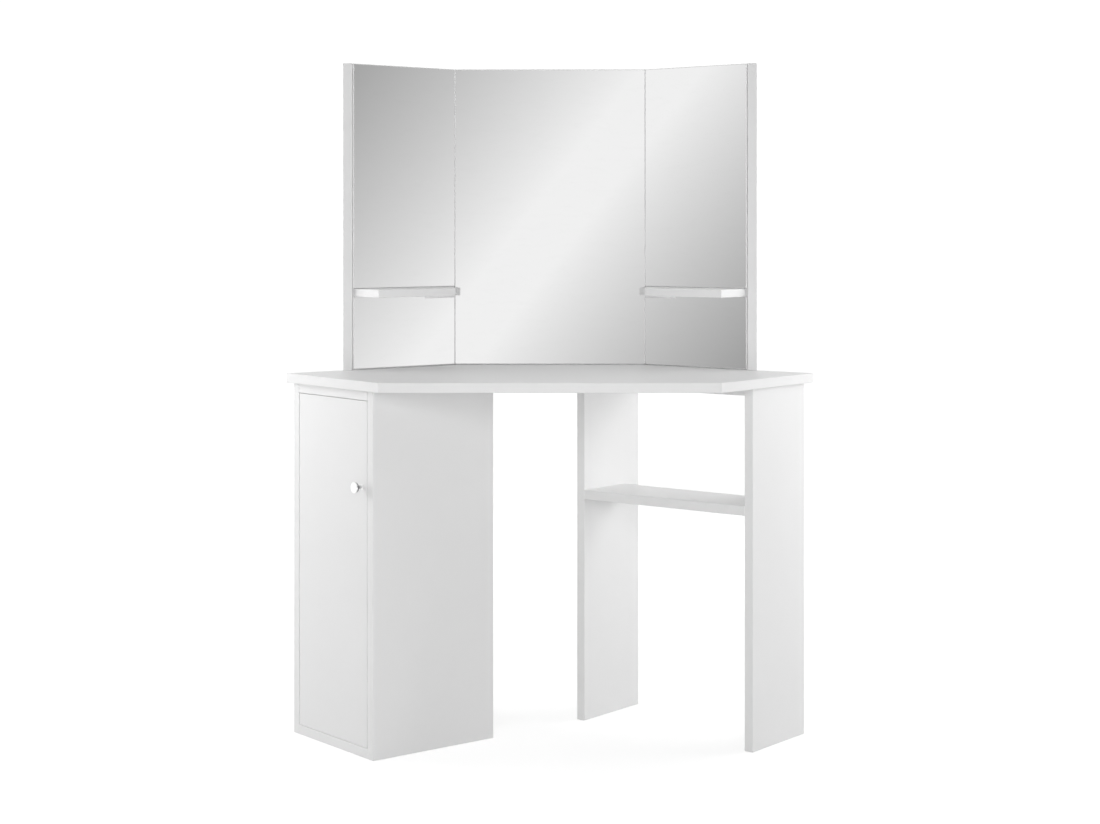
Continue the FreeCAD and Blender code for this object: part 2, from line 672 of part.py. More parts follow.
def make_hutch_boards():
    foot = [screw(seat, UP, BOARD + HUTCH_SCREW_GRIP, fit=FIT) for seat in hutch_screws]
    inner = REAR_EDGE / 2 - HUTCH_BOARD * MITRE
    outline = [
        Vector(-REAR_EDGE / 2, REAR_Y, 0),
        Vector(-inner, REAR_Y - HUTCH_BOARD, 0),
        Vector(inner, REAR_Y - HUTCH_BOARD, 0),
        Vector(REAR_EDGE / 2, REAR_Y, 0),
    ]
    centre = eased(slab(outline, TABLE_HEIGHT, OVERALL_HEIGHT))
    parts["centre_mirror_board"] = drilled(centre, foot)
    for name, side in (("left", LEFT), ("right", RIGHT)):
        outline = [
            (stile_along(0), 0),
            (WING_LENGTH, 0),
            (WING_LENGTH - HUTCH_BOARD * MITRE, HUTCH_BOARD),
            (stile_along(HUTCH_BOARD), HUTCH_BOARD),
        ]
        board = eased(wing_slab(side, outline, TABLE_HEIGHT, OVERALL_HEIGHT))
        parts[f"{name}_mirror_board"] = drilled(board, foot + shelf_screw_set(side, FIT))
        stile = slab([
            Vector(side * HUTCH_HALF, STILE_FRONT_Y, 0),
            Vector(side * (HUTCH_HALF + STILE_WIDTH), STILE_FRONT_Y, 0),
            Vector(side * (HUTCH_HALF + STILE_WIDTH), STILE_REAR_Y, 0),
            Vector(side * HUTCH_HALF, at(RIGHT, stile_along(0), 0).y, 0),
        ], TABLE_HEIGHT, OVERALL_HEIGHT)
        parts[f"{name}_end_stile"] = drilled(eased(stile), foot)


def shelf_screw_set(side, fit=0.0):
    """Screws from behind a wing's mirror board into the back of its small shelf."""
    length = HUTCH_BOARD + SHELF_SCREW_GRIP
    return [screw(seat, out_way(side), length, fit=fit) for seat in shelf_screws[side]]


def make_hutch_shelves():
    seam = WING_LENGTH - HUTCH_BOARD * MITRE - HUTCH_SHELF_SEAM_GAP
    outline = [
        (HUTCH_SHELF_END, HUTCH_BOARD),
        (seam, HUTCH_BOARD),
        (HUTCH_SHELF_END + HUTCH_SHELF_FRONT, HUTCH_SHELF_OUT),
        (HUTCH_SHELF_END, HUTCH_SHELF_OUT),
    ]
    for name, side in (("left", LEFT), ("right", RIGHT)):
        shelf = eased(wing_slab(side, outline, HUTCH_SHELF_BOTTOM, HUTCH_SHELF_TOP))
        parts[f"{name}_hutch_shelf"] = drilled(shelf, shelf_screw_set(side, FIT))
    both = shelf_screw_set(LEFT) + shelf_screw_set(RIGHT)
    parts["hutch_shelf_screws"] = group(both)


def make_mirrors():
    tapes = []
    half = REAR_EDGE / 2 - GLASS_FACE * MITRE - SEAM_GAP / 2
    depth = (REAR_Y - GLASS_FACE, REAR_Y - GLASS_BACK)
    parts["centre_mirror"] = arrised(block((-half, half), depth, (GLASS_BOTTOM, GLASS_TOP)))
    strip = (GLASS_BOTTOM + TAPE_INSET, GLASS_TOP - TAPE_INSET)
    behind = (REAR_Y - GLASS_BACK, REAR_Y - HUTCH_BOARD)
    for start in (-half + TAPE_INSET, half - TAPE_INSET - TAPE_WIDTH):
        tapes.append(block((start, start + TAPE_WIDTH), behind, strip))
    along = (
        stile_along(GLASS_BACK) + GLASS_FIT,
        WING_LENGTH - GLASS_FACE * MITRE - SEAM_GAP / 2,
    )
    heights = {
        "lower": (GLASS_BOTTOM, HUTCH_SHELF_BOTTOM - GLASS_FIT),
        "upper": (HUTCH_SHELF_TOP + GLASS_FIT, GLASS_TOP),
    }
    for name, side in (("left", LEFT), ("right", RIGHT)):
        for level, (bottom, top) in heights.items():
            pane = wing_board(side, along, (GLASS_BACK, GLASS_FACE), bottom, top)
            parts[f"{name}_{level}_mirror"] = arrised(pane)
            for start in (along[0] + TAPE_INSET, along[1] - TAPE_INSET - TAPE_WIDTH):
                width = (start, start + TAPE_WIDTH)
                tapes.append(wing_board(side, width, (HUTCH_BOARD, GLASS_BACK),
                                        bottom + TAPE_INSET, top - TAPE_INSET))
    parts["mirror_tape"] = group(tapes)


def make_fasteners():
    into = DOWEL_LENGTH - DOWEL_IN_FACE
    parts["table_dowels"] = group([dowel(seat, UP, into) for seat in table_dowels])
    parts["cabinet_dowels"] = group([dowel(seat, way, DOWEL_IN_SIDE) for seat, way in cabinet_dowels])
    parts["stand_dowels"] = group([dowel(seat, way, DOWEL_IN_SIDE) for seat, way in stand_dowels])
    fixing = [screw(seat, UP, BOARD + SCREW_GRIP) for seat in cabinet_screws]
    fixing += [screw(seat, UP, LEG_RAIL + SCREW_GRIP) for seat in rail_screws]
    parts["table_screws"] = group(fixing)
    foot = [screw(seat, UP, BOARD + HUTCH_SCREW_GRIP) for seat in hutch_screws]
    parts["hutch_screws"] = group(foot)


make_table_top()
make_cabinet_case()
make_cabinet_shelves()
make_door()
make_knob()
make_hinges()
make_catch()
make_stand()
make_hutch_boards()
make_hutch_shelves()
make_mirrors()
make_fasteners()

for name, shape in parts.items():
    shape.exportStep(f"parts/{name}.step")
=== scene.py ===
import json
import math
from collections import namedtuple

import bmesh
import bpy
import numpy as np
from bpy.props import FloatProperty, FloatVectorProperty, IntProperty, PointerProperty
from mathutils import Matrix, Vector


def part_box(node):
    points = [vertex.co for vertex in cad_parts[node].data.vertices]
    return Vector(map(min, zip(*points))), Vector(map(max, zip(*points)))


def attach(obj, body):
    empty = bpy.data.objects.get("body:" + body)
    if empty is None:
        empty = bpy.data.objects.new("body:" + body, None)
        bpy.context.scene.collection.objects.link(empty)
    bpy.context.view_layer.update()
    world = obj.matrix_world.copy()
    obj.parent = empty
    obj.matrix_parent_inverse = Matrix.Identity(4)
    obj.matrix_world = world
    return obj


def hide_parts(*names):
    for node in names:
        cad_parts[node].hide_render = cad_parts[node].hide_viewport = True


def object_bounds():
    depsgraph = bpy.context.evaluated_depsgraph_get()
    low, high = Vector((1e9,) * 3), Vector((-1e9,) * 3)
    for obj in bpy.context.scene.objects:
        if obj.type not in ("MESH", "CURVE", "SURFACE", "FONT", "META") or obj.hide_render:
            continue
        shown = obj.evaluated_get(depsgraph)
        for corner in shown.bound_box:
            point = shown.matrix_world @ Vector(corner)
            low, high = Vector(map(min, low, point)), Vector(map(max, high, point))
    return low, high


bl_info = {
    "name": "Corner dressing table",
    "version": (1, 0, 0),
    "blender": (4, 5, 0),
    "location": "View3D > Sidebar > Dressing table",
    "description": "Finishes a white corner dressing table with mirrors, and sets it in a plain studio",
    "category": "Object",
}

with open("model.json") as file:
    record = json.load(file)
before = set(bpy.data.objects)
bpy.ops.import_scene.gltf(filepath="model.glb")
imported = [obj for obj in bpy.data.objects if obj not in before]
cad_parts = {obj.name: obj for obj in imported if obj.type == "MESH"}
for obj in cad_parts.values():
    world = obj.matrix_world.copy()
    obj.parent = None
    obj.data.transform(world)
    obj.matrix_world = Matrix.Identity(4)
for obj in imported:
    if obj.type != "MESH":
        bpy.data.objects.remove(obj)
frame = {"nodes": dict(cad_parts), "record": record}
CAD_BOX = [list(corner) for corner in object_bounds()]

UP = Vector((0, 0, 1))
ACROSS = Vector((1, 0, 0))
WHITE = (1.0, 1.0, 1.0, 1.0)
TABLE_BODY = "table"
DOOR_BODY = "door"

# Points closer than this in metres count as level with each other
LEVEL = 1e-5
SAME_POINT = 1e-6

# The picture's frame in pixels, its horizon, and the camera's sensor in millimetres
PICTURE_WIDTH = 1100
PICTURE_HEIGHT = 824
HORIZON = 226.6
SENSOR_WIDTH = 36.0

# The slanting sheen in the mirrors: pixels across the picture, and the paleness along them
SHEEN_SLANT = 0.775
SHEEN_START = 400.0
SHEEN_END = 1040.0
SHEEN_STOPS = ((0.0, 0.64), (0.46, 0.94), (0.56, 0.94), (1.0, 0.61))
SHEEN_GLOW = 1.11
SHEEN_GAMMA = 2.2

# The cards that carry the sheen: spare size, where the rim fades, and the distance from the mirrors
SHEEN_MARGIN = 1.3
SHEEN_FADE = 0.8
SHEEN_REACH = {"left": 2.6, "centre": 5.6, "right": 2.6}

# The small white card that the knob's face shows
KNOB_CARD_REACH = 0.15
KNOB_CARD_HALF = 0.045
KNOB_CARD_GLOW = 1.15

# The strength of the plain white behind the table
BACKDROP_WHITE = 1.05

# The floor's reach, where its white goes from near to far, and the grey that takes the shadow
FLOOR_HALF = 30.0
FLOOR_DROP = 0.0005
FLOOR_NEAR = 0.8
FLOOR_FAR = 2.0
FLOOR_SHADE = 0.34

# The sealant in the seams between the mirrors: how hollow it is, its points across and its ends
SEAL_HOLLOW = 0.25
SEAL_POINTS = 6
SEAL_INSET = 0.0012

# The boards: how far the gloss strays from the set roughness, and the strength of the gloss
BOARD_SMOOTHER = 0.06
BOARD_ROUGHER = 0.10
BOARD_SPECULAR = 0.4
SHEET_COARSER = 2

# The mirrors: how near to the facing direction the silvered face is, and how the glass takes marks
SILVER_LIKENESS = 0.9
SILVER_MARK_TONE = 0.985
SILVER_MARK_ROUGHNESS = 0.02
GROUND_ROUGHNESS = 0.3

# The plated metals: shares of the base colour, roughness from smooth to rough, and relief
CHROME_MARK_SHARE = 0.08
CHROME_ROUGHNESS = (0.06, 0.14)
STEEL_EDGE = 0.0006
STEEL_EDGE_TONE = 1.25
STEEL_TONES = (0.9, 1.08)
STEEL_ROUGHNESS = (0.22, 0.42)
STEEL_BUMP = 0.05
STEEL_DEPTH = 0.0001
ROLL_STRETCH = (1.0, 1.0, 0.02)
ROLL_PATCH = 40.0

# The bare beech of the dowels: sizes in metres, shares of the base colour, and relief
BEECH_FIBRE = 0.0015
BEECH_FIBRE_STRETCH = (1.0, 1.0, 0.1)
BEECH_FLECK = 0.0006
BEECH_FLECK_STRETCH = (1.0, 1.0, 0.25)
BEECH_FLECK_SHARE = 0.3
BEECH_FLECK_TONE = 0.6
BEECH_TONES = (0.8, 1.15)
BEECH_ROUGHNESS = (0.55, 0.75)
BEECH_BUMP = 0.2

# Relief under a Bump node, in metres, where a finish gives none of its own
PLAIN_DEPTH = 0.0005

# A screw's head, as shares of its radius, and the height from which its side is straight
HEAD_TOP = 0.97
HEAD_RIM = 0.4
HEAD_UNDER = 0.95
HEAD_THIN = 0.05
HEAD_STRAIGHT = 0.2
CRISP_ANGLE = math.radians(40)

# A screw's cross recess: arm and depth as shares of the head, and the floor as shares of the mouth
RECESS_ARM = 0.13
RECESS_DEPTH = 0.55
RECESS_FLOOR_REACH = 0.55
RECESS_FLOOR_ARM = 0.6

# A screw's thread: its share of the shank, rows in a turn, fewest rows, steepness and point
THREAD_SHARE = 0.98
THREAD_STEPS = 4
THREAD_ROWS = 8
THREAD_STEEPNESS = 4.0
THREAD_POINT = 2.5

# Sockets of a Mix node that mixes colours
MIX_SHARE = 0
MIX_FIRST = 6
MIX_SECOND = 7
MIX_RESULT = 2

# A finish with a fine grain: grain and cloud sizes, shares of the colour, roughness and relief
Grain = namedtuple("Grain", "pearl mottle dark pale smooth rough bump depth", defaults=[PLAIN_DEPTH])
Band = namedtuple("Band", "width tone")

BOARDS = [
    "table_top", "cabinet_wall_side", "cabinet_knee_side", "cabinet_top_panel",
    "cabinet_bottom_panel", "cabinet_lower_shelf", "cabinet_upper_shelf", "cabinet_door",
    "outer_leg", "inner_leg", "stand_shelf", "stand_rail", "centre_mirror_board",
    "left_mirror_board", "right_mirror_board", "left_end_stile", "right_end_stile",
    "left_hutch_shelf", "right_hutch_shelf",
]
WING_MIRRORS = {
    "left": ["left_lower_mirror", "left_upper_mirror"],
    "centre": ["centre_mirror"],
    "right": ["right_lower_mirror", "right_upper_mirror"],
}
SEAM_TURNS = {"left": 1, "right": -1}
HINGE_PIECES = [
    f"{level}_hinge_{piece}" for level in ("lower", "upper") for piece in ("cup", "pin", "arm", "plate")
]
SCREWS = {
    "hinge_cup_screws": DOOR_BODY,
    "strike_screws": DOOR_BODY,
    "hinge_plate_screws": TABLE_BODY,
    "hinge_arm_screws": TABLE_BODY,
    "catch_screws": TABLE_BODY,
    "table_screws": TABLE_BODY,
    "hutch_screws": TABLE_BODY,
    "hutch_shelf_screws": TABLE_BODY,
    "door_knob_screw": DOOR_BODY,
}


def colour_of(slot):
    """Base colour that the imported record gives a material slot."""
    for finish in frame["record"]["materials"]:
        if finish["slot"] == slot:
            return tuple(finish["base_color"][:3])
    raise RuntimeError(f"the record has no finish for {slot}")


class BoardFinish(bpy.types.PropertyGroup):
    """White melamine-faced board with banded edges"""
    colour: FloatVectorProperty(
        name="Board colour", description="Colour of the faced boards and their edge bands",
        subtype="COLOR", default=colour_of("white_board"), min=0, max=1)
    sheet_colour: FloatVectorProperty(
        name="Back sheet colour", description="Colour of the cabinet's thin back sheet",
        subtype="COLOR", default=colour_of("back_sheet"), min=0, max=1)
    roughness: FloatProperty(
        name="Roughness", description="Roughness of the satin face", default=0.42, min=0, max=1)
    pearl: FloatProperty(
        name="Pearl size", description="Size of the fine pearl texture pressed into the face",
        unit="LENGTH", default=0.0011, min=0.0001)
    mottle: FloatProperty(
        name="Mottle size", description="Size of the faint cloudiness of the paper under the resin",
        unit="LENGTH", default=0.09, min=0.001)
    band: FloatProperty(
        name="Edge band", description="Width of the rounded edge of the band",
        unit="LENGTH", default=0.0012, min=0.0001)


class MirrorFinish(bpy.types.PropertyGroup):
    """Silvered float glass with ground edges"""
    silver: FloatVectorProperty(
        name="Silver", description="Colour of the silvering behind the glass",
        subtype="COLOR", default=colour_of("mirror"), min=0, max=1)
    edge: FloatVectorProperty(
        name="Glass edge", description="Colour of the ground edge of the glass",
        subtype="COLOR", default=(0.97, 0.97, 0.97), min=0, max=1)
    roughness: FloatProperty(
        name="Roughness", description="Roughness of clean glass", default=0.015, min=0, max=1)
    smear: FloatProperty(
        name="Smear size", description="Size of the faint wiping marks",
        unit="LENGTH", default=0.05, min=0.001)
    foot_lean: FloatProperty(
        name="Lean at the foot", description="Backward lean of the silver at the mirrors' foot",
        subtype="ANGLE", default=0.042, min=-0.1, max=0.1)
    top_lean: FloatProperty(
        name="Lean at the top", description="Backward lean of the silver at the mirrors' top",
        subtype="ANGLE", default=-0.018, min=-0.1, max=0.1)
    sealant: FloatVectorProperty(
        name="Sealant", description="Colour of the thin sealant in the seams between the mirrors",
        subtype="COLOR", default=(0.8, 0.8, 0.8), min=0, max=1)
    seal_sink: FloatProperty(
        name="Sealant depth",
        description="Depth of the sealant below the glass, as a share of the ground edge",
        default=0.3, min=0, max=0.9)


class MetalFinish(bpy.types.PropertyGroup):
    """Plated metal of the knob, hinges and screws"""
    chrome: FloatVectorProperty(
        name="Chrome", description="Colour of the bright plated knob",
        subtype="COLOR", default=colour_of("chrome"), min=0, max=1)
    # Painted shade: the knob neck's colour darkens the chrome of the neck, as its shadow and dark
    # reflections would; finger marks also darken towards it
    neck: FloatVectorProperty(
        name="Knob neck", description="Colour of the duller plating on the knob's neck",
        subtype="COLOR", default=(0.3, 0.3, 0.31), min=0, max=1)
    knob_face: FloatProperty(
        name="Knob face", description="Depth of the bright face and rim of the knob",
        unit="LENGTH", default=0.003, min=0.0005)
    # Reach of the painted shade on the knob's neck, from the tip towards the door
    neck_shade_depth: FloatProperty(
        name="Knob neck depth",
        description="Depth from the knob's tip at which the dull neck has turned bright",
        unit="LENGTH", default=0.019, min=0.001)
    knob_mark: FloatProperty(
        name="Knob mark", description="Size of the finger marks on the knob",
        unit="LENGTH", default=0.004, min=0.0005)
    steel: FloatVectorProperty(
        name="Steel", description="Colour of the plated hinges and screws",
        subtype="COLOR", default=colour_of("steel"), min=0, max=1)
    brush: FloatProperty(
        name="Brush line", description="Width of the fine lines left by rolling",
        unit="LENGTH", default=0.0003, min=0.00001)


class SmallFinish(bpy.types.PropertyGroup):
    """Dowels, foam tape and the magnetic catch"""
    beech: FloatVectorProperty(
        name="Beech", description="Colour of the bare dowels",
        subtype="COLOR", default=colour_of("dowel"), min=0, max=1)
    foam: FloatVectorProperty(
        name="Foam", description="Colour of the mirror tape",
        subtype="COLOR", default=colour_of("mirror_tape"), min=0, max=1)
    plastic: FloatVectorProperty(
        name="Catch plastic", description="Colour of the catch's moulded body",
        subtype="COLOR", default=colour_of("catch_plastic"), min=0, max=1)
    ferrite: FloatVectorProperty(
        name="Ferrite", description="Colour of the catch's magnet",
        subtype="COLOR", default=colour_of("magnet"), min=0, max=1)


class ScrewSizes(bpy.types.PropertyGroup):
    """Cross-recessed wood screws"""
    pitch: FloatProperty(
        name="Thread pitch", description="Rise of the thread in one turn",
        unit="LENGTH", default=0.0018, min=0.0005)
    root: FloatProperty(
        name="Root share", description="Root radius of the thread, as a share of the shank's",
        default=0.72, min=0.3, max=1)
    recess: FloatProperty(
        name="Recess reach", description="Reach of the cross recess, as a share of the head's radius",
        default=0.6, min=0.2, max=0.9)
    sides: IntProperty(
        name="Sides", description="Points round a screw's head and shank", default=28, min=12)


class StudioSetup(bpy.types.PropertyGroup):
    """Camera, floor and light"""
    eye_height: FloatProperty(
        name="Eye height", description="Height of the camera above the floor",
        unit="LENGTH", default=1.0644)
    eye_distance: FloatProperty(
        name="Eye distance", description="Distance of the camera from the middle mirror's face",
        unit="LENGTH", default=4.5565)
    lens: FloatProperty(
        name="Lens", description="Focal length on a sensor 36 mm wide",
        unit="CAMERA", default=66.91)
    floor_colour: FloatVectorProperty(
        name="Floor colour", description="Colour of the pale floor",
        subtype="COLOR", default=(0.62, 0.62, 0.62), min=0, max=1)
    floor_near: FloatProperty(
        name="Floor white near",
        description="Share of plain white in the floor that the camera sees at the table",
        default=0.75, min=0, max=1)
    floor_far: FloatProperty(
        name="Floor white far",
        description="Share of plain white in the floor that the camera sees far away",
        default=0.92, min=0, max=1)
    zenith_light: FloatProperty(
        name="Overhead light", description="Strength of the soft light from above", default=0.62, min=0)
    side_power: FloatProperty(
        name="Side panels", description="Power of the soft light panel at each side",
        unit="POWER", default=14.9, min=0)
    front_power: FloatProperty(
        name="Front panel", description="Power of the soft light panel in front",
        unit="POWER", default=48.0, min=0)
    back_power: FloatProperty(
        name="Back panel", description="Power of the weak light panel behind, placed as the front one is",
        unit="POWER", default=9.0, min=0)
    side_turn: FloatProperty(
        name="Side panels' turn", description="Place of the side panels round the table, from the front",
        subtype="ANGLE", default=1.78)
    side_distance: FloatProperty(
        name="Side panels' distance",
        description="Level distance of the side panels from the table's middle",
        unit="LENGTH", default=1.65, min=0.8)
    front_distance: FloatProperty(
        name="Front panel's distance",
        description="Level distance of the front panel from the table's middle",
        unit="LENGTH", default=3.2, min=0.8)
    side_size: FloatProperty(
        name="Side panels' size", description="Side of each square side panel",
        unit="LENGTH", default=1.1, min=0.1)
    front_size: FloatProperty(
        name="Front panel's size", description="Side of the square front panel",
        unit="LENGTH", default=2.0, min=0.1)
    side_height: FloatProperty(
        name="Side panels' height", description="Height of the middle of the side panels",
        unit="LENGTH", default=1.0)
    front_height: FloatProperty(
        name="Front panel's height", description="Height of the middle of the front panel",
        unit="LENGTH", default=1.15)


GROUPS = {
    "dressing_board": BoardFinish,
    "dressing_mirror": MirrorFinish,
    "dressing_metal": MetalFinish,
    "dressing_small": SmallFinish,
    "dressing_screw": ScrewSizes,
    "dressing_studio": StudioSetup,
}


def pane_facing(node):
    """Level direction in which a mirror or the door looks, into the room."""
    mesh = frame["nodes"][node].data
    face = max(mesh.polygons, key=lambda polygon: polygon.area)
    normal = Vector((face.normal.x, face.normal.y, 0)).normalized()
    return normal if normal.y < 0 else -normal


def middle_of(nodes):
    """Middle of the box round some CAD pieces."""
    corners = [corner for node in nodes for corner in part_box(node)]
    low = Vector([min(corner[axis] for corner in corners) for axis in range(3)])
    high = Vector([max(corner[axis] for corner in corners) for axis in range(3)])
    return (low + high) / 2


def frame_middle():
    """Middle of the whole table's box."""
    return (Vector(CAD_BOX[0]) + Vector(CAD_BOX[1])) / 2


def place(tree, kind, inputs=None, **settings):
    """Adds a shader node; inputs maps a socket's name or number to a constant or another node's output."""
    made = tree.nodes.new(kind)
    for key, value in settings.items():
        setattr(made, key, value)
    for key, value in (inputs or {}).items():
        if isinstance(value, bpy.types.NodeSocket):
            tree.links.new(value, made.inputs[key])
        else:
            made.inputs[key].default_value = value
    return made


def maths(tree, operation, *values, clamp=False):
    """Output of a Math node over constants or sockets."""
    inputs = dict(enumerate(values))
    return place(tree, "ShaderNodeMath", inputs, operation=operation, use_clamp=clamp).outputs[0]


def vector_maths(tree, operation, *values):
    """Outputs of a Vector Math node over constants or sockets."""
    inputs = dict(enumerate(values))
    return place(tree, "ShaderNodeVectorMath", inputs, operation=operation).outputs


def own_place(tree):
    """Point of the surface in the piece's own space, in metres."""
    return place(tree, "ShaderNodeTexCoord").outputs["Object"]


def ramped(tree, value, start, end, low, high):
    """Value between start and end spread from low to high, and held there outside."""
    inputs = {"Value": value, "From Min": start, "From Max": end, "To Min": low, "To Max": high}
    return place(tree, "ShaderNodeMapRange", inputs).outputs["Result"]


def span(tree, value, low, high):
    """Value from 0 to 1 spread between low and high."""
    return ramped(tree, value, 0.0, 1.0, low, high)


def tint(tree, share, first, second):
    """Colour that goes from first to second with share."""
    mix = place(tree, "ShaderNodeMix", data_type="RGBA", blend_type="MIX")
    tree.links.new(share, mix.inputs[MIX_SHARE])
    for number, colour in ((MIX_FIRST, first), (MIX_SECOND, second)):
        if isinstance(colour, bpy.types.NodeSocket):
            tree.links.new(colour, mix.inputs[number])
        else:
            mix.inputs[number].default_value = (*colour, 1.0)
    return mix.outputs[MIX_RESULT]


def shade(colour, factor):
    """Colour made lighter or darker, within range."""
    return tuple(min(1.0, part * factor) for part in colour)


def effect(name, inputs, outputs):
    """Empty node group with named value sockets; returns the tree, its inputs and its outputs."""
    tree = bpy.data.node_groups.new(name, "ShaderNodeTree")
    for label, default in inputs.items():
        socket = tree.interface.new_socket(label, in_out="INPUT", socket_type="NodeSocketFloat")
        socket.default_value = default
    for label in outputs:
        tree.interface.new_socket(label, in_out="OUTPUT", socket_type="NodeSocketFloat")
    entry = place(tree, "NodeGroupInput")
    leave = place(tree, "NodeGroupOutput")
    return tree, entry.outputs, leave.inputs


def noise(tree, size, detail=2.0, stretch=(1, 1, 1), roughness=0.5):
    """Noise with features of the given size in metres, which is a number or a socket."""
    scaled = vector_maths(tree, "MULTIPLY", own_place(tree), stretch)[0]
    given = isinstance(size, bpy.types.NodeSocket)
    scale = maths(tree, "DIVIDE", 1.0, size) if given else 1.0 / size
    inputs = {"Vector": scaled, "Scale": scale, "Detail": detail, "Roughness": roughness}
    return place(tree, "ShaderNodeTexNoise", inputs).outputs["Fac"]


def pearl_grain():
    """Fine pressed texture and cloudy tone of a resin-faced or moulded surface."""
    sizes = {"Pearl size": 0.001, "Mottle size": 0.1}
    tree, given, out = effect("Pearl grain", sizes, ["Height", "Tone", "Gloss"])
    fine = noise(tree, given["Pearl size"], detail=3.0)
    cloud = noise(tree, given["Mottle size"], detail=4.0, roughness=0.6)
    tree.links.new(fine, out["Height"])
    tree.links.new(cloud, out["Tone"])
    tree.links.new(maths(tree, "MULTIPLY", fine, cloud), out["Gloss"])
    return tree


def edge_mask():
    """Mask of the narrow strip along a piece's edges."""
    tree, given, out = effect("Edge mask", {"Width": 0.001, "Gain": 4.0}, ["Mask"])
    rounded = place(tree, "ShaderNodeBevel", {"Radius": given["Width"]}, samples=4).outputs["Normal"]
    flat = place(tree, "ShaderNodeNewGeometry").outputs["True Normal"]
    alike = vector_maths(tree, "DOT_PRODUCT", rounded, flat)["Value"]
    turned = maths(tree, "SUBTRACT", 1.0, alike)
    tree.links.new(maths(tree, "MULTIPLY", turned, given["Gain"], clamp=True), out["Mask"])
    return tree


def wiping_marks():
    """Faint streaks and finger marks on a polished surface."""
    tree, given, out = effect("Wiping marks", {"Size": 0.05, "Spread": 0.3}, ["Mask"])
    streak = noise(tree, given["Size"], detail=5.0, stretch=(1.0, 1.0, 3.0), roughness=0.65)
    lifted = maths(tree, "SUBTRACT", streak, 0.5)
    tree.links.new(maths(tree, "DIVIDE", lifted, given["Spread"], clamp=True), out["Mask"])
    return tree


EFFECTS = {
    "Pearl grain": pearl_grain,
    "Edge mask": edge_mask,
    "Wiping marks": wiping_marks,
}


def use_effect(tree, name, **values):
    """Places a shared effect in a material, building it the first time."""
    group = bpy.data.node_groups.get(name) or EFFECTS[name]()
    inputs = {label.replace("_", " "): value for label, value in values.items()}
    return place(tree, "ShaderNodeGroup", node_tree=group, inputs=inputs).outputs


def start_material(name):
    """New material with a Principled shader; returns the material, its tree and the shader."""
    made = bpy.data.materials.new(name)
    made.use_nodes = True
    tree = made.node_tree
    return made, tree, tree.nodes["Principled BSDF"]


def bare_material(name):
    """New material with no nodes yet; returns the material and its tree."""
    made = bpy.data.materials.new(name)
    made.use_nodes = True
    made.node_tree.nodes.clear()
    return made, made.node_tree


def dress(tree, shader, colour, roughness):
    """Links the colour and roughness that change over the surface into the shader."""
    tree.links.new(colour, shader.inputs["Base Color"])
    tree.links.new(roughness, shader.inputs["Roughness"])


def emboss(tree, shader, height, bump, depth=PLAIN_DEPTH):
    """Gives the shader fine relief from a height that changes over the surface."""
    inputs = {"Height": height, "Strength": bump, "Distance": depth}
    tree.links.new(place(tree, "ShaderNodeBump", inputs).outputs["Normal"], shader.inputs["Normal"])


def grained(name, colour, grain, band=None):
    """Finish whose tone, gloss and relief follow the shared grain, with paler edges where it has a band."""
    made, tree, shader = start_material(name)
    relief = use_effect(tree, "Pearl grain", Pearl_size=grain.pearl, Mottle_size=grain.mottle)
    tone = tint(tree, relief["Tone"], shade(colour, grain.dark), shade(colour, grain.pale))
    if band:
        edge = use_effect(tree, "Edge mask", Width=band.width)["Mask"]
        tone = tint(tree, edge, tone, shade(colour, band.tone))
    dress(tree, shader, tone, span(tree, relief["Gloss"], grain.smooth, grain.rough))
    emboss(tree, shader, relief["Height"], grain.bump, grain.depth)
    return made


def faced_board(finish):
    """Satin white board with a pearl face and banded edges."""
    grain = Grain(
        pearl=finish.pearl, mottle=finish.mottle, dark=0.985, pale=1.012,
        smooth=finish.roughness - BOARD_SMOOTHER, rough=finish.roughness + BOARD_ROUGHER,
        bump=0.05, depth=0.0002)
    made = grained("white_faced_board", finish.colour, grain, Band(width=finish.band, tone=1.02))
    shader = made.node_tree.nodes["Principled BSDF"]
    shader.inputs["Specular IOR Level"].default_value = BOARD_SPECULAR
    return made


def hard_sheet(finish):
    """Matt white hardboard of the cabinet's back."""
    grain = Grain(
        pearl=finish.pearl * SHEET_COARSER, mottle=finish.mottle, dark=0.96, pale=1.02,
        smooth=0.55, rough=0.7, bump=0.15)
    return grained("white_back_sheet", finish.sheet_colour, grain)


def soft_foam(finish):
    """Open-celled foam tape behind the mirrors."""
    grain = Grain(pearl=0.0006, mottle=0.01, dark=0.92, pale=1.05, smooth=0.8, rough=0.95, bump=0.3)
    return grained("foam_tape", finish.foam, grain)


def clear_sealant(finish):
    """Pale sealant with a soft skin."""
    grain = Grain(pearl=0.0008, mottle=0.03, dark=0.95, pale=1.04, smooth=0.35, rough=0.55, bump=0.05)
    return grained("clear_sealant", finish.sealant, grain)


def moulded_plastic(finish):
    """White moulded plastic of the catch, paler along its edges."""
    grain = Grain(
        pearl=0.0004, mottle=0.02, dark=0.96, pale=1.02, smooth=0.4, rough=0.6, bump=0.1, depth=0.0002)
    return grained("catch_plastic", finish.plastic, grain, Band(width=0.0008, tone=1.06))


def dark_ferrite(finish):
    """Grainy dark magnet."""
    grain = Grain(pearl=0.0005, mottle=0.004, dark=0.7, pale=1.3, smooth=0.45, rough=0.7, bump=0.2)
    return grained("dark_ferrite", finish.ferrite, grain)


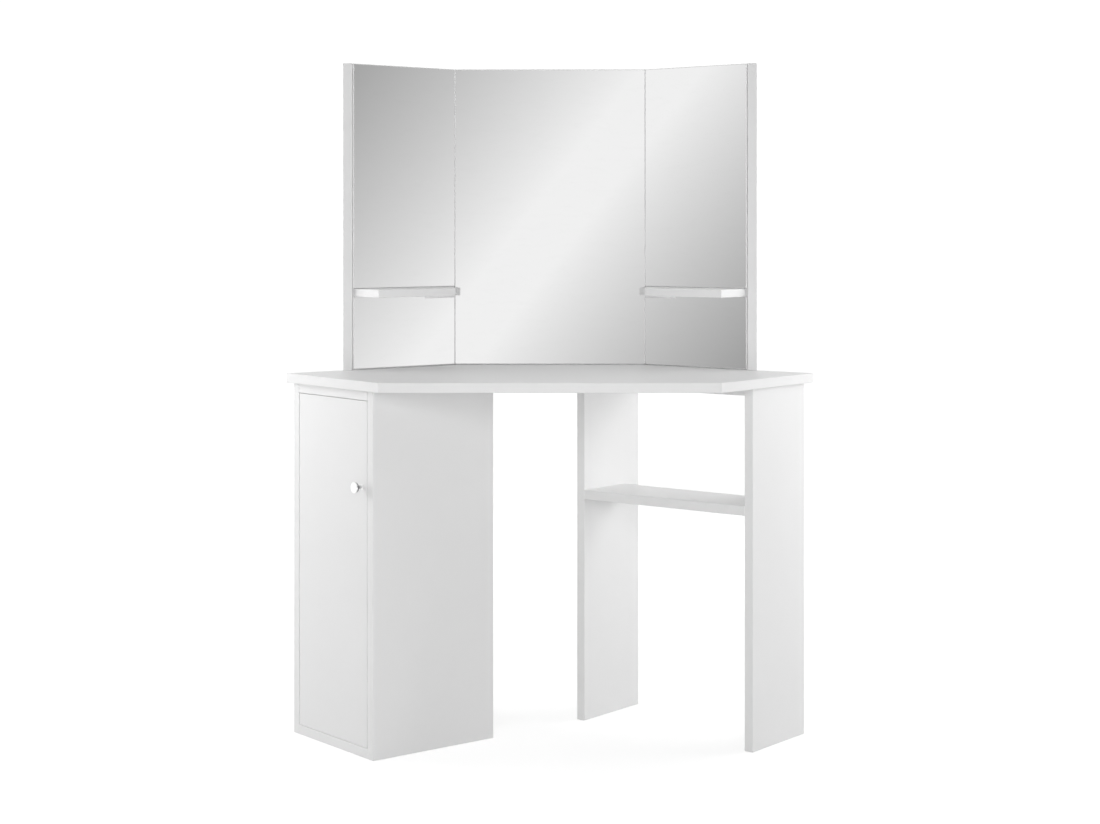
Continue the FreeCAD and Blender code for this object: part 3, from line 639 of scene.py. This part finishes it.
def silvered_glass(name, facing, finish):
    """Mirror whose face looks the way of facing, with a pale ground edge round it."""
    made, tree, shader = start_material(name)
    marks = use_effect(tree, "Wiping marks", Size=finish.smear)["Mask"]
    normal = place(tree, "ShaderNodeTexCoord").outputs["Normal"]
    toward = vector_maths(tree, "DOT_PRODUCT", normal, tuple(facing))["Value"]
    silver = maths(tree, "GREATER_THAN", toward, SILVER_LIKENESS)
    glass = tint(tree, marks, finish.silver, shade(finish.silver, SILVER_MARK_TONE))
    colour = tint(tree, silver, finish.edge, glass)
    polish = span(tree, marks, finish.roughness, finish.roughness + SILVER_MARK_ROUGHNESS)
    faced = maths(tree, "MULTIPLY", silver, polish)
    rim = maths(tree, "MULTIPLY", maths(tree, "SUBTRACT", 1.0, silver), GROUND_ROUGHNESS)
    dress(tree, shader, colour, maths(tree, "ADD", faced, rim))
    tree.links.new(silver, shader.inputs["Metallic"])
    return made


def bright_chrome(finish):
    """Plating that is bright on the knob's face, with painted shade darkening its neck."""
    made, tree, shader = start_material("bright_chrome")
    marks = use_effect(tree, "Wiping marks", Size=finish.knob_mark)["Mask"]
    outward = pane_facing("cabinet_door")
    tip = max(vertex.co.dot(outward) for vertex in frame["nodes"]["door_knob"].data.vertices)
    depth = vector_maths(tree, "DOT_PRODUCT", own_place(tree), tuple(outward))["Value"]
    face = maths(tree, "GREATER_THAN", depth, tip - finish.knob_face)
    # Painted shade: from the face back to half this depth the chrome is darkened to the neck colour, fading
    # back to bright chrome at the full depth
    painted_shade = ramped(tree, depth, tip - finish.neck_shade_depth, tip - finish.neck_shade_depth / 2, 0.0, 1.0)
    plating_and_shade = tint(tree, face, tint(tree, painted_shade, finish.chrome, finish.neck), finish.chrome)
    # Finger marks darken the plating a little towards the colour of the painted neck shade
    colour = tint(tree, maths(tree, "MULTIPLY", marks, CHROME_MARK_SHARE), plating_and_shade, finish.neck)
    dress(tree, shader, colour, span(tree, marks, *CHROME_ROUGHNESS))
    shader.inputs["Metallic"].default_value = 1.0
    return made


def plated_steel(finish):
    """Rolled and plated steel with fine lines along Z and brighter edges."""
    made, tree, shader = start_material("plated_steel")
    line = noise(tree, finish.brush, stretch=ROLL_STRETCH)
    patch = noise(tree, finish.brush * ROLL_PATCH, detail=3.0)
    edge = use_effect(tree, "Edge mask", Width=STEEL_EDGE)["Mask"]
    dark, pale = (shade(finish.steel, tone) for tone in STEEL_TONES)
    colour = tint(tree, edge, tint(tree, patch, dark, pale), shade(finish.steel, STEEL_EDGE_TONE))
    dress(tree, shader, colour, span(tree, line, *STEEL_ROUGHNESS))
    emboss(tree, shader, line, STEEL_BUMP, STEEL_DEPTH)
    shader.inputs["Metallic"].default_value = 1.0
    return made


def bare_beech(finish):
    """Unfinished beech with fibres and darker flecks."""
    made, tree, shader = start_material("bare_beech")
    fibre = noise(tree, BEECH_FIBRE, detail=4.0, stretch=BEECH_FIBRE_STRETCH)
    fleck = noise(tree, BEECH_FLECK, stretch=BEECH_FLECK_STRETCH)
    dark, pale = (shade(finish.beech, tone) for tone in BEECH_TONES)
    base = tint(tree, fibre, dark, pale)
    flecked = span(tree, fleck, 0.0, BEECH_FLECK_SHARE)
    colour = tint(tree, flecked, base, shade(finish.beech, BEECH_FLECK_TONE))
    dress(tree, shader, colour, span(tree, fibre, *BEECH_ROUGHNESS))
    emboss(tree, shader, fibre, BEECH_BUMP)
    return made


def cover(names, material):
    """Gives CAD pieces one finish."""
    for name in names:
        slots = frame["nodes"][name].material_slots
        if not slots:
            raise RuntimeError(f"{name} has no material slot")
        for slot in slots:
            slot.material = material


def silver_lean(height, finish):
    """Backward lean of the bowed silver at a height, in radians."""
    foot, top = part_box("centre_mirror")
    share = (height - foot.z) / (top.z - foot.z)
    return finish.foot_lean + (finish.top_lean - finish.foot_lean) * share


def silver_facing(facing, height, finish):
    """Direction in which the bowed silver of a pane looks at a height."""
    return (facing + UP * silver_lean(height, finish)).normalized()


def bow_silver(node, facing, finish):
    """Bows a pane's silver by the normals of its face, so that the mirrors look out over the table top."""
    mesh = frame["nodes"][node].data
    normals = [corner.vector.copy() for corner in mesh.corner_normals]
    for face in mesh.polygons:
        if face.normal.dot(facing) > SILVER_LIKENESS:
            for corner in face.loop_indices:
                height = mesh.vertices[mesh.loops[corner].vertex_index].co.z
                normals[corner] = silver_facing(facing, height, finish)
    mesh.normals_split_custom_set(normals)


def new_piece(name, mesh, material, body):
    """Turns a bmesh into a piece that rides on a body and has the given finish."""
    bmesh.ops.recalc_face_normals(mesh, faces=mesh.faces)
    data = bpy.data.meshes.new(name)
    mesh.to_mesh(data)
    mesh.free()
    data.materials.append(material)
    piece = bpy.data.objects.new(name, data)
    bpy.context.scene.collection.objects.link(piece)
    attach(piece, body)
    return piece


def ring(mesh, radius, height, count):
    """Level circle of vertices."""
    turns = [2 * math.pi * step / count for step in range(count)]
    return [mesh.verts.new((radius * math.cos(turn), radius * math.sin(turn), height)) for turn in turns]


def skirt(mesh, upper, lower):
    """Quads between two loops with as many points."""
    for step in range(len(upper)):
        after = (step + 1) % len(upper)
        mesh.faces.new((upper[step], lower[step], lower[after], upper[after]))


def ground_edge(node, facing, toward):
    """Plan points where a pane's ground edge leaves its face and meets its side, on the toward side."""
    spots = [vertex.co for vertex in frame["nodes"][node].data.vertices]
    front = max(spot.dot(facing) for spot in spots)
    reach = max(spot.dot(toward) for spot in spots)
    on_face = [spot for spot in spots if spot.dot(facing) > front - LEVEL]
    on_side = [spot for spot in spots if spot.dot(toward) > reach - LEVEL]
    from_face = max(on_face, key=lambda spot: spot.dot(toward))
    to_side = max(on_side, key=lambda spot: spot.dot(facing))
    return from_face.to_2d(), to_side.to_2d()


def seam_bead(node, turn, finish, material):
    """Hollow line of sealant between one wing pane and the middle mirror; turn is the wing's seam turn."""
    ahead = pane_facing("centre_mirror")
    facing = pane_facing(node)
    wing_face, wing_side = ground_edge(node, facing, turn * UP.cross(facing))
    middle_face, middle_side = ground_edge("centre_mirror", ahead, -turn * UP.cross(ahead))
    start = wing_face.lerp(wing_side, finish.seal_sink)
    end = middle_face.lerp(middle_side, finish.seal_sink)
    back = (wing_side + middle_side) / 2
    outline = [middle_side, wing_side]
    for step in range(SEAL_POINTS + 1):
        share = step / SEAL_POINTS
        # A parabola that is 0 at both ends and 1 in the middle
        hollow = 4 * share * (1 - share)
        outline.append(start.lerp(end, share).lerp(back, SEAL_HOLLOW * hollow))
    low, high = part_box(node)
    mesh = bmesh.new()
    foot = [mesh.verts.new((*spot, low.z + SEAL_INSET)) for spot in outline]
    head = [mesh.verts.new((*spot, high.z - SEAL_INSET)) for spot in outline]
    skirt(mesh, head, foot)
    mesh.faces.new(head)
    mesh.faces.new(foot)
    new_piece(f"{node}_sealant", mesh, material, TABLE_BODY)


def lone_solids(node):
    """Vertices of each separate solid of a CAD piece, as arrays of points."""
    mesh = bmesh.new()
    mesh.from_mesh(frame["nodes"][node].data)
    bmesh.ops.remove_doubles(mesh, verts=mesh.verts, dist=SAME_POINT)
    left = set(mesh.verts)
    found = []
    while left:
        to_visit = [left.pop()]
        island = list(to_visit)
        while to_visit:
            vert = to_visit.pop()
            for edge in vert.link_edges:
                other = edge.other_vert(vert)
                if other in left:
                    left.remove(other)
                    to_visit.append(other)
                    island.append(other)
        found.append(np.array([vert.co for vert in island]))
    mesh.free()
    return found


def screw_seat(points):
    """Where a screw sits: its placement with the head at the origin and the tip down, and its sizes."""
    middle = points.mean(0)
    axis = np.linalg.svd(points - middle)[2][0]
    along = (points - middle) @ axis
    radius = np.linalg.norm(points - middle - np.outer(along, axis), axis=1)
    if radius[along > along.max() - LEVEL].max() < radius[along < along.min() + LEVEL].max():
        axis = -axis
        along = -along
    head_end = along.max()
    tip = radius[along < along.min() + LEVEL].max()
    wide = along[radius > radius.max() - LEVEL]
    turn = Vector(axis).to_track_quat("Z", "Y").to_matrix().to_4x4()
    stand = Matrix.Translation(Vector(middle + axis * head_end)) @ turn
    sizes = {
        "head": float(radius.max()),
        "shank": float(tip),
        "length": float(head_end - along.min()),
        "rim": float(head_end - wide.min()),
    }
    return stand, sizes


def cross_outline(reach, arm, height):
    """Twelve corners of a level cross."""
    quarter = [(reach, -arm), (reach, arm), (arm, arm)]
    corners = []
    for turn in range(4):
        spin = Matrix.Rotation(turn * math.pi / 2, 2)
        corners += [spin @ Vector(corner) for corner in quarter]
    return [(corner.x, corner.y, height) for corner in corners]


def turned_screw(mesh, stand, sizes, shape):
    """One wood screw: a head with a cross recess, a waist and a threaded shank with a point."""
    start = len(mesh.verts)
    head, shank, length = sizes["head"], sizes["shank"], sizes["length"]
    sink = max(head - shank, sizes["rim"])
    rim_drop = max(sizes["rim"], head * HEAD_THIN)
    straight = sizes["rim"] > head * HEAD_STRAIGHT
    top = ring(mesh, head * HEAD_TOP, 0.0, shape.sides)
    rim = ring(mesh, head, -rim_drop * HEAD_RIM, shape.sides)
    under = ring(mesh, head if straight else head * HEAD_UNDER, -rim_drop, shape.sides)
    waist = ring(mesh, shank * THREAD_SHARE, -sink, shape.sides)
    for upper, lower in ((top, rim), (rim, under), (under, waist)):
        skirt(mesh, upper, lower)
    cut_recess(mesh, top, head, shape)
    wind_thread(mesh, waist, shank, sink, length, shape)
    mesh.verts.ensure_lookup_table()
    bmesh.ops.transform(mesh, matrix=stand, verts=mesh.verts[start:])


def cut_recess(mesh, top, head, shape):
    """Cross recess in the head's top, and the flat ring round its mouth."""
    reach = head * shape.recess
    arm = head * RECESS_ARM
    mouth = [mesh.verts.new(corner) for corner in cross_outline(reach, arm, 0.0)]
    deep = cross_outline(reach * RECESS_FLOOR_REACH, arm * RECESS_FLOOR_ARM, -head * RECESS_DEPTH)
    floor = [mesh.verts.new(corner) for corner in deep]
    skirt(mesh, floor, mouth)
    mesh.faces.new(floor)
    rims = []
    for loop in (top, mouth):
        for step in range(len(loop)):
            ends = (loop[step - 1], loop[step])
            rims.append(mesh.edges.get(ends) or mesh.edges.new(ends))
    bmesh.ops.triangle_fill(mesh, use_beauty=True, edges=rims, normal=UP)


def wind_thread(mesh, waist, shank, sink, length, shape):
    """Threaded shank under the waist: a ridge that climbs one pitch in each turn, down to a point."""
    count = len(waist)
    rows = max(THREAD_ROWS, int((length - sink) / shape.pitch * THREAD_STEPS))
    above = waist
    for row in range(1, rows):
        drop = sink + (length - sink) * row / rows
        body = min(1.0, (length - drop) / (THREAD_POINT * shank))
        circle = []
        for step in range(count):
            phase = (drop / shape.pitch + step / count) % 1.0
            ridge = max(0.0, 1.0 - abs(phase - 0.5) * THREAD_STEEPNESS)
            radius = shank * THREAD_SHARE * body * (shape.root + (1.0 - shape.root) * ridge)
            turn = 2 * math.pi * step / count
            circle.append(mesh.verts.new((radius * math.cos(turn), radius * math.sin(turn), -drop)))
        skirt(mesh, above, circle)
        above = circle
    point = mesh.verts.new((0, 0, -length))
    for step in range(count):
        mesh.faces.new((above[step], point, above[(step + 1) % count]))


def screw_set(node, body, shape, material):
    """Screws with recessed heads, each where the CAD screw sits, in place of one node."""
    mesh = bmesh.new()
    for points in lone_solids(node):
        turned_screw(mesh, *screw_seat(points), shape)
    piece = new_piece(f"turned_{node}", mesh, material, body)
    piece.data.shade_smooth()
    crisp = piece.modifiers.new("crisp edges", "EDGE_SPLIT")
    crisp.split_angle = CRISP_ANGLE
    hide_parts(node)


def pixel_scale(studio):
    """Picture pixels for each unit of slope."""
    return PICTURE_WIDTH * studio.lens / SENSOR_WIDTH


def eye_point(studio):
    """Where the camera stands: in front of the middle mirror's face."""
    return Vector((0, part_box("centre_mirror")[0].y - studio.eye_distance, studio.eye_height))


def sheen_material(name, start, across, rise, half):
    """Glow that is palest along a slanting band and fades out at the rim of a card of that half side."""
    made, tree = bare_material(name)
    parts = place(tree, "ShaderNodeSeparateXYZ", {0: own_place(tree)}).outputs
    sideways = maths(tree, "MULTIPLY_ADD", parts["X"], across, start)
    share = maths(tree, "MULTIPLY_ADD", parts["Y"], rise, sideways)
    ramp = place(tree, "ShaderNodeValToRGB", {0: share})
    elements = ramp.color_ramp.elements
    while len(elements) < len(SHEEN_STOPS):
        elements.new(0.5)
    for element, (position, level) in zip(elements, SHEEN_STOPS):
        element.position = position
        element.color = (level, level, level, 1.0)
    even = place(tree, "ShaderNodeGamma", {"Color": ramp.outputs["Color"], "Gamma": SHEEN_GAMMA})
    glow = place(tree, "ShaderNodeEmission", {"Color": even.outputs["Color"], "Strength": SHEEN_GLOW})
    sides = [maths(tree, "ABSOLUTE", parts[axis]) for axis in "XY"]
    from_middle = maths(tree, "MAXIMUM", *sides)
    there = ramped(tree, from_middle, SHEEN_FADE * half, half, 1.0, 0.0)
    clear = place(tree, "ShaderNodeBsdfTransparent")
    mixed = place(tree, "ShaderNodeMixShader", {0: there, 1: clear.outputs[0], 2: glow.outputs[0]})
    place(tree, "ShaderNodeOutputMaterial", {"Surface": mixed.outputs[0]})
    return made


def plain_glow(name, level):
    """Even white glow."""
    made, tree = bare_material(name)
    glow = place(tree, "ShaderNodeEmission", {"Color": WHITE, "Strength": level})
    place(tree, "ShaderNodeOutputMaterial", {"Surface": glow.outputs[0]})
    return made


def stage_square(name, half, material):
    """Level square about the origin with one material, for the floor and the cards."""
    corners = [(-half, -half, 0), (half, -half, 0), (half, half, 0), (-half, half, 0)]
    mesh = bpy.data.meshes.new(name)
    mesh.from_pydata(corners, [], [(0, 1, 2, 3)])
    mesh.materials.append(material)
    made = bpy.data.objects.new(name, mesh)
    bpy.context.scene.collection.objects.link(made)
    return made


def reflected_card(name, centre, across, half, glow):
    """Upright card that only reflections show; across is its level direction."""
    card = stage_square(name, half, glow)
    outward = across.cross(UP)
    turn = Matrix((across, UP, outward)).transposed().to_4x4()
    card.matrix_world = Matrix.Translation(centre) @ turn
    card.visible_camera = False
    card.visible_diffuse = False
    card.visible_shadow = False


def knob_card(studio):
    """White card that the knob's face shows to the camera."""
    middle = middle_of(["door_knob"])
    way = (middle - eye_point(studio)).reflect(pane_facing("cabinet_door")).normalized()
    across = way.cross(UP).normalized()
    glow = plain_glow("knob_card", KNOB_CARD_GLOW)
    reflected_card("knob_card", middle + way * KNOB_CARD_REACH, across, KNOB_CARD_HALF, glow)


def sheen_card(side, reach, studio, finish):
    """Card that one wing's mirrors see, with the picture's slanting sheen on it."""
    nodes = WING_MIRRORS[side]
    facing = pane_facing(nodes[0])
    middle = middle_of(nodes)
    sight = middle - eye_point(studio)
    centre = middle + sight.reflect(silver_facing(facing, middle.z, finish)).normalized() * reach
    scale = pixel_scale(studio)
    pixel_x = PICTURE_WIDTH / 2 + scale * sight.x / sight.y
    pixel_y = HORIZON - scale * sight.z / sight.y
    width = SHEEN_END - SHEEN_START
    start = (pixel_x + SHEEN_SLANT * pixel_y - SHEEN_START) / width
    # The bow, the lean lost in a metre, gathers the lines of sight, so they spread less upward
    depth = sight.length + reach
    bow = silver_lean(middle.z, finish) - silver_lean(middle.z + 1, finish)
    bowed_depth = depth + 2 * bow * sight.dot(facing) * reach
    rise = -SHEEN_SLANT * scale / bowed_depth / width
    spread = max((corner - middle).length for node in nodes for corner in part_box(node))
    half = SHEEN_MARGIN * spread * depth / sight.length
    name = f"{side}_sheen_card"
    glow = sheen_material(name, start, scale / depth / width, rise, half)
    reflected_card(name, centre, ACROSS.reflect(facing), half, glow)


def seen_rays(tree):
    """1 for rays from the camera and for mirror and glass rays, 0 for rays that carry light."""
    path = place(tree, "ShaderNodeLightPath").outputs
    shown = maths(tree, "MAXIMUM", path["Is Camera Ray"], path["Is Glossy Ray"])
    return maths(tree, "MAXIMUM", shown, path["Is Transmission Ray"])


def pale_floor(studio):
    """Pale floor that is seen as near white and keeps the table's shadow."""
    made, tree = bare_material("pale_floor")
    plain = place(tree, "ShaderNodeBsdfDiffuse", {"Color": (*studio.floor_colour, 1.0)})
    reach = vector_maths(tree, "LENGTH", own_place(tree))["Value"]
    level = ramped(tree, reach, FLOOR_NEAR, FLOOR_FAR, studio.floor_near, studio.floor_far)
    white = place(tree, "ShaderNodeEmission", {"Color": WHITE, "Strength": level})
    faint = place(tree, "ShaderNodeBsdfDiffuse", {"Color": (FLOOR_SHADE, FLOOR_SHADE, FLOOR_SHADE, 1.0)})
    seen = place(tree, "ShaderNodeAddShader", {0: white.outputs[0], 1: faint.outputs[0]})
    inputs = {0: seen_rays(tree), 1: plain.outputs[0], 2: seen.outputs[0]}
    mixed = place(tree, "ShaderNodeMixShader", inputs)
    place(tree, "ShaderNodeOutputMaterial", {"Surface": mixed.outputs[0]})
    floor = stage_square("floor", FLOOR_HALF, made)
    floor.location.z = -FLOOR_DROP


def soft_sky(studio):
    """Soft light from overhead that fades out towards the horizon, in front of plain white."""
    world = bpy.data.worlds.new("studio")
    world.use_nodes = True
    bpy.context.scene.world = world
    tree = world.node_tree
    tree.nodes.clear()
    way = place(tree, "ShaderNodeTexCoord").outputs["Generated"]
    height = place(tree, "ShaderNodeSeparateXYZ", {0: way}).outputs["Z"]
    level = span(tree, height, 0.0, studio.zenith_light)
    light = place(tree, "ShaderNodeBackground", {"Color": WHITE, "Strength": level})
    white = place(tree, "ShaderNodeBackground", {"Color": WHITE, "Strength": BACKDROP_WHITE})
    inputs = {0: seen_rays(tree), 1: light.outputs[0], 2: white.outputs[0]}
    mixed = place(tree, "ShaderNodeMixShader", inputs)
    place(tree, "ShaderNodeOutputWorld", {"Surface": mixed.outputs[0]})


def light_panel(name, turn, distance, height, size, power):
    """Large soft light panel; turn is its place round the table, from the front towards the right."""
    lamp = bpy.data.lights.new(name, "AREA")
    lamp.size = size
    lamp.energy = power
    panel = bpy.data.objects.new(name, lamp)
    panel.location = Matrix.Rotation(turn, 3, "Z") @ Vector((0, -distance, 0)) + UP * height
    aim = frame_middle() - panel.location
    panel.rotation_euler = aim.to_track_quat("-Z", "Y").to_euler()
    panel.visible_camera = False
    panel.visible_glossy = False
    bpy.context.scene.collection.objects.link(panel)


def light_panels(studio):
    """Panels at both sides, in front and behind."""
    beside = (studio.side_distance, studio.side_height, studio.side_size)
    before = (studio.front_distance, studio.front_height, studio.front_size)
    light_panel("left_panel", -studio.side_turn, *beside, studio.side_power)
    light_panel("right_panel", studio.side_turn, *beside, studio.side_power)
    light_panel("front_panel", 0.0, *before, studio.front_power)
    light_panel("back_panel", math.pi, *before, studio.back_power)


def set_camera(studio):
    """Level camera with a vertical shift, in front of the table."""
    lens = bpy.data.cameras.new("camera")
    lens.lens = studio.lens
    lens.shift_y = (HORIZON - PICTURE_HEIGHT / 2) / PICTURE_WIDTH
    camera = bpy.data.objects.new("camera", lens)
    camera.location = eye_point(studio)
    camera.rotation_euler = (math.pi / 2, 0, 0)
    bpy.context.scene.collection.objects.link(camera)
    bpy.context.scene.camera = camera


class DRESSING_OT_boards(bpy.types.Operator):
    """Finish the faced boards and the cabinet's back sheet"""
    bl_idname = "dressing.boards"
    bl_label = "Boards"

    def execute(self, context):
        finish = context.scene.dressing_board
        cover(BOARDS, faced_board(finish))
        cover(["cabinet_back_sheet"], hard_sheet(finish))
        return {"FINISHED"}


class DRESSING_OT_mirrors(bpy.types.Operator):
    """Silver the five mirrors, colour the tape behind them and fill the seams between them"""
    bl_idname = "dressing.mirrors"
    bl_label = "Mirrors"

    def execute(self, context):
        finish = context.scene.dressing_mirror
        for side, panes in WING_MIRRORS.items():
            facing = pane_facing(panes[0])
            cover(panes, silvered_glass(f"silvered_glass_{side}", facing, finish))
            for pane in panes:
                bow_silver(pane, facing, finish)
        cover(["mirror_tape"], soft_foam(context.scene.dressing_small))
        sealant = clear_sealant(finish)
        for side, turn in SEAM_TURNS.items():
            for pane in WING_MIRRORS[side]:
                seam_bead(pane, turn, finish, sealant)
        return {"FINISHED"}


class DRESSING_OT_knob(bpy.types.Operator):
    """Plate the door's knob"""
    bl_idname = "dressing.knob"
    bl_label = "Knob"

    def execute(self, context):
        cover(["door_knob"], bright_chrome(context.scene.dressing_metal))
        return {"FINISHED"}


class DRESSING_OT_hinges(bpy.types.Operator):
    """Plate the hinges, the strike and the shelf pins"""
    bl_idname = "dressing.hinges"
    bl_label = "Hinges"

    def execute(self, context):
        names = HINGE_PIECES + ["strike_plate", "cabinet_shelf_pins"]
        cover(names, plated_steel(context.scene.dressing_metal))
        return {"FINISHED"}


class DRESSING_OT_catch(bpy.types.Operator):
    """Finish the magnetic catch"""
    bl_idname = "dressing.catch"
    bl_label = "Catch"

    def execute(self, context):
        finish = context.scene.dressing_small
        cover(["catch_body"], moulded_plastic(finish))
        cover(["catch_magnet"], dark_ferrite(finish))
        return {"FINISHED"}


class DRESSING_OT_dowels(bpy.types.Operator):
    """Finish the dowels inside the joints"""
    bl_idname = "dressing.dowels"
    bl_label = "Dowels"

    def execute(self, context):
        beech = bare_beech(context.scene.dressing_small)
        cover(["table_dowels", "cabinet_dowels", "stand_dowels"], beech)
        return {"FINISHED"}


class DRESSING_OT_screws(bpy.types.Operator):
    """Make the screws with recessed heads and threads"""
    bl_idname = "dressing.screws"
    bl_label = "Screws"

    def execute(self, context):
        steel = bpy.data.materials.get("plated_steel") or plated_steel(context.scene.dressing_metal)
        for node, body in SCREWS.items():
            screw_set(node, body, context.scene.dressing_screw, steel)
        return {"FINISHED"}


class DRESSING_OT_stage(bpy.types.Operator):
    """Set the floor, the light, the mirrors' cards and the camera"""
    bl_idname = "dressing.stage"
    bl_label = "Stage"

    def execute(self, context):
        studio = context.scene.dressing_studio
        context.scene.view_settings.view_transform = "Standard"
        pale_floor(studio)
        soft_sky(studio)
        light_panels(studio)
        for side, reach in SHEEN_REACH.items():
            sheen_card(side, reach, studio, context.scene.dressing_mirror)
        knob_card(studio)
        set_camera(studio)
        return {"FINISHED"}


OPERATORS = (
    DRESSING_OT_boards,
    DRESSING_OT_mirrors,
    DRESSING_OT_knob,
    DRESSING_OT_hinges,
    DRESSING_OT_catch,
    DRESSING_OT_dowels,
    DRESSING_OT_screws,
    DRESSING_OT_stage,
)


class DRESSING_PT_table(bpy.types.Panel):
    """Pieces of the dressing table"""
    bl_label = "Dressing table"
    bl_idname = "DRESSING_PT_table"
    bl_space_type = "VIEW_3D"
    bl_region_type = "UI"
    bl_category = "Dressing table"

    def draw(self, context):
        for group in GROUPS:
            box = self.layout.box()
            settings = getattr(context.scene, group)
            for name in settings.__annotations__:
                box.prop(settings, name)
        for operator in OPERATORS:
            self.layout.operator(operator.bl_idname)


CLASSES = (*GROUPS.values(), *OPERATORS, DRESSING_PT_table)


def register():
    """Registers the classes and hangs the settings on the scene."""
    for each in CLASSES:
        bpy.utils.register_class(each)
    for name, group in GROUPS.items():
        setattr(bpy.types.Scene, name, PointerProperty(type=group))


def unregister():
    """Takes the settings and the classes away again."""
    for name in GROUPS:
        delattr(bpy.types.Scene, name)
    for each in reversed(CLASSES):
        bpy.utils.unregister_class(each)


def main():
    """Builds the whole scene."""
    register()
    bpy.ops.dressing.boards()
    bpy.ops.dressing.mirrors()
    bpy.ops.dressing.knob()
    bpy.ops.dressing.hinges()
    bpy.ops.dressing.catch()
    bpy.ops.dressing.dowels()
    bpy.ops.dressing.screws()
    bpy.ops.dressing.stage()


if __name__ == "__main__":
    main()
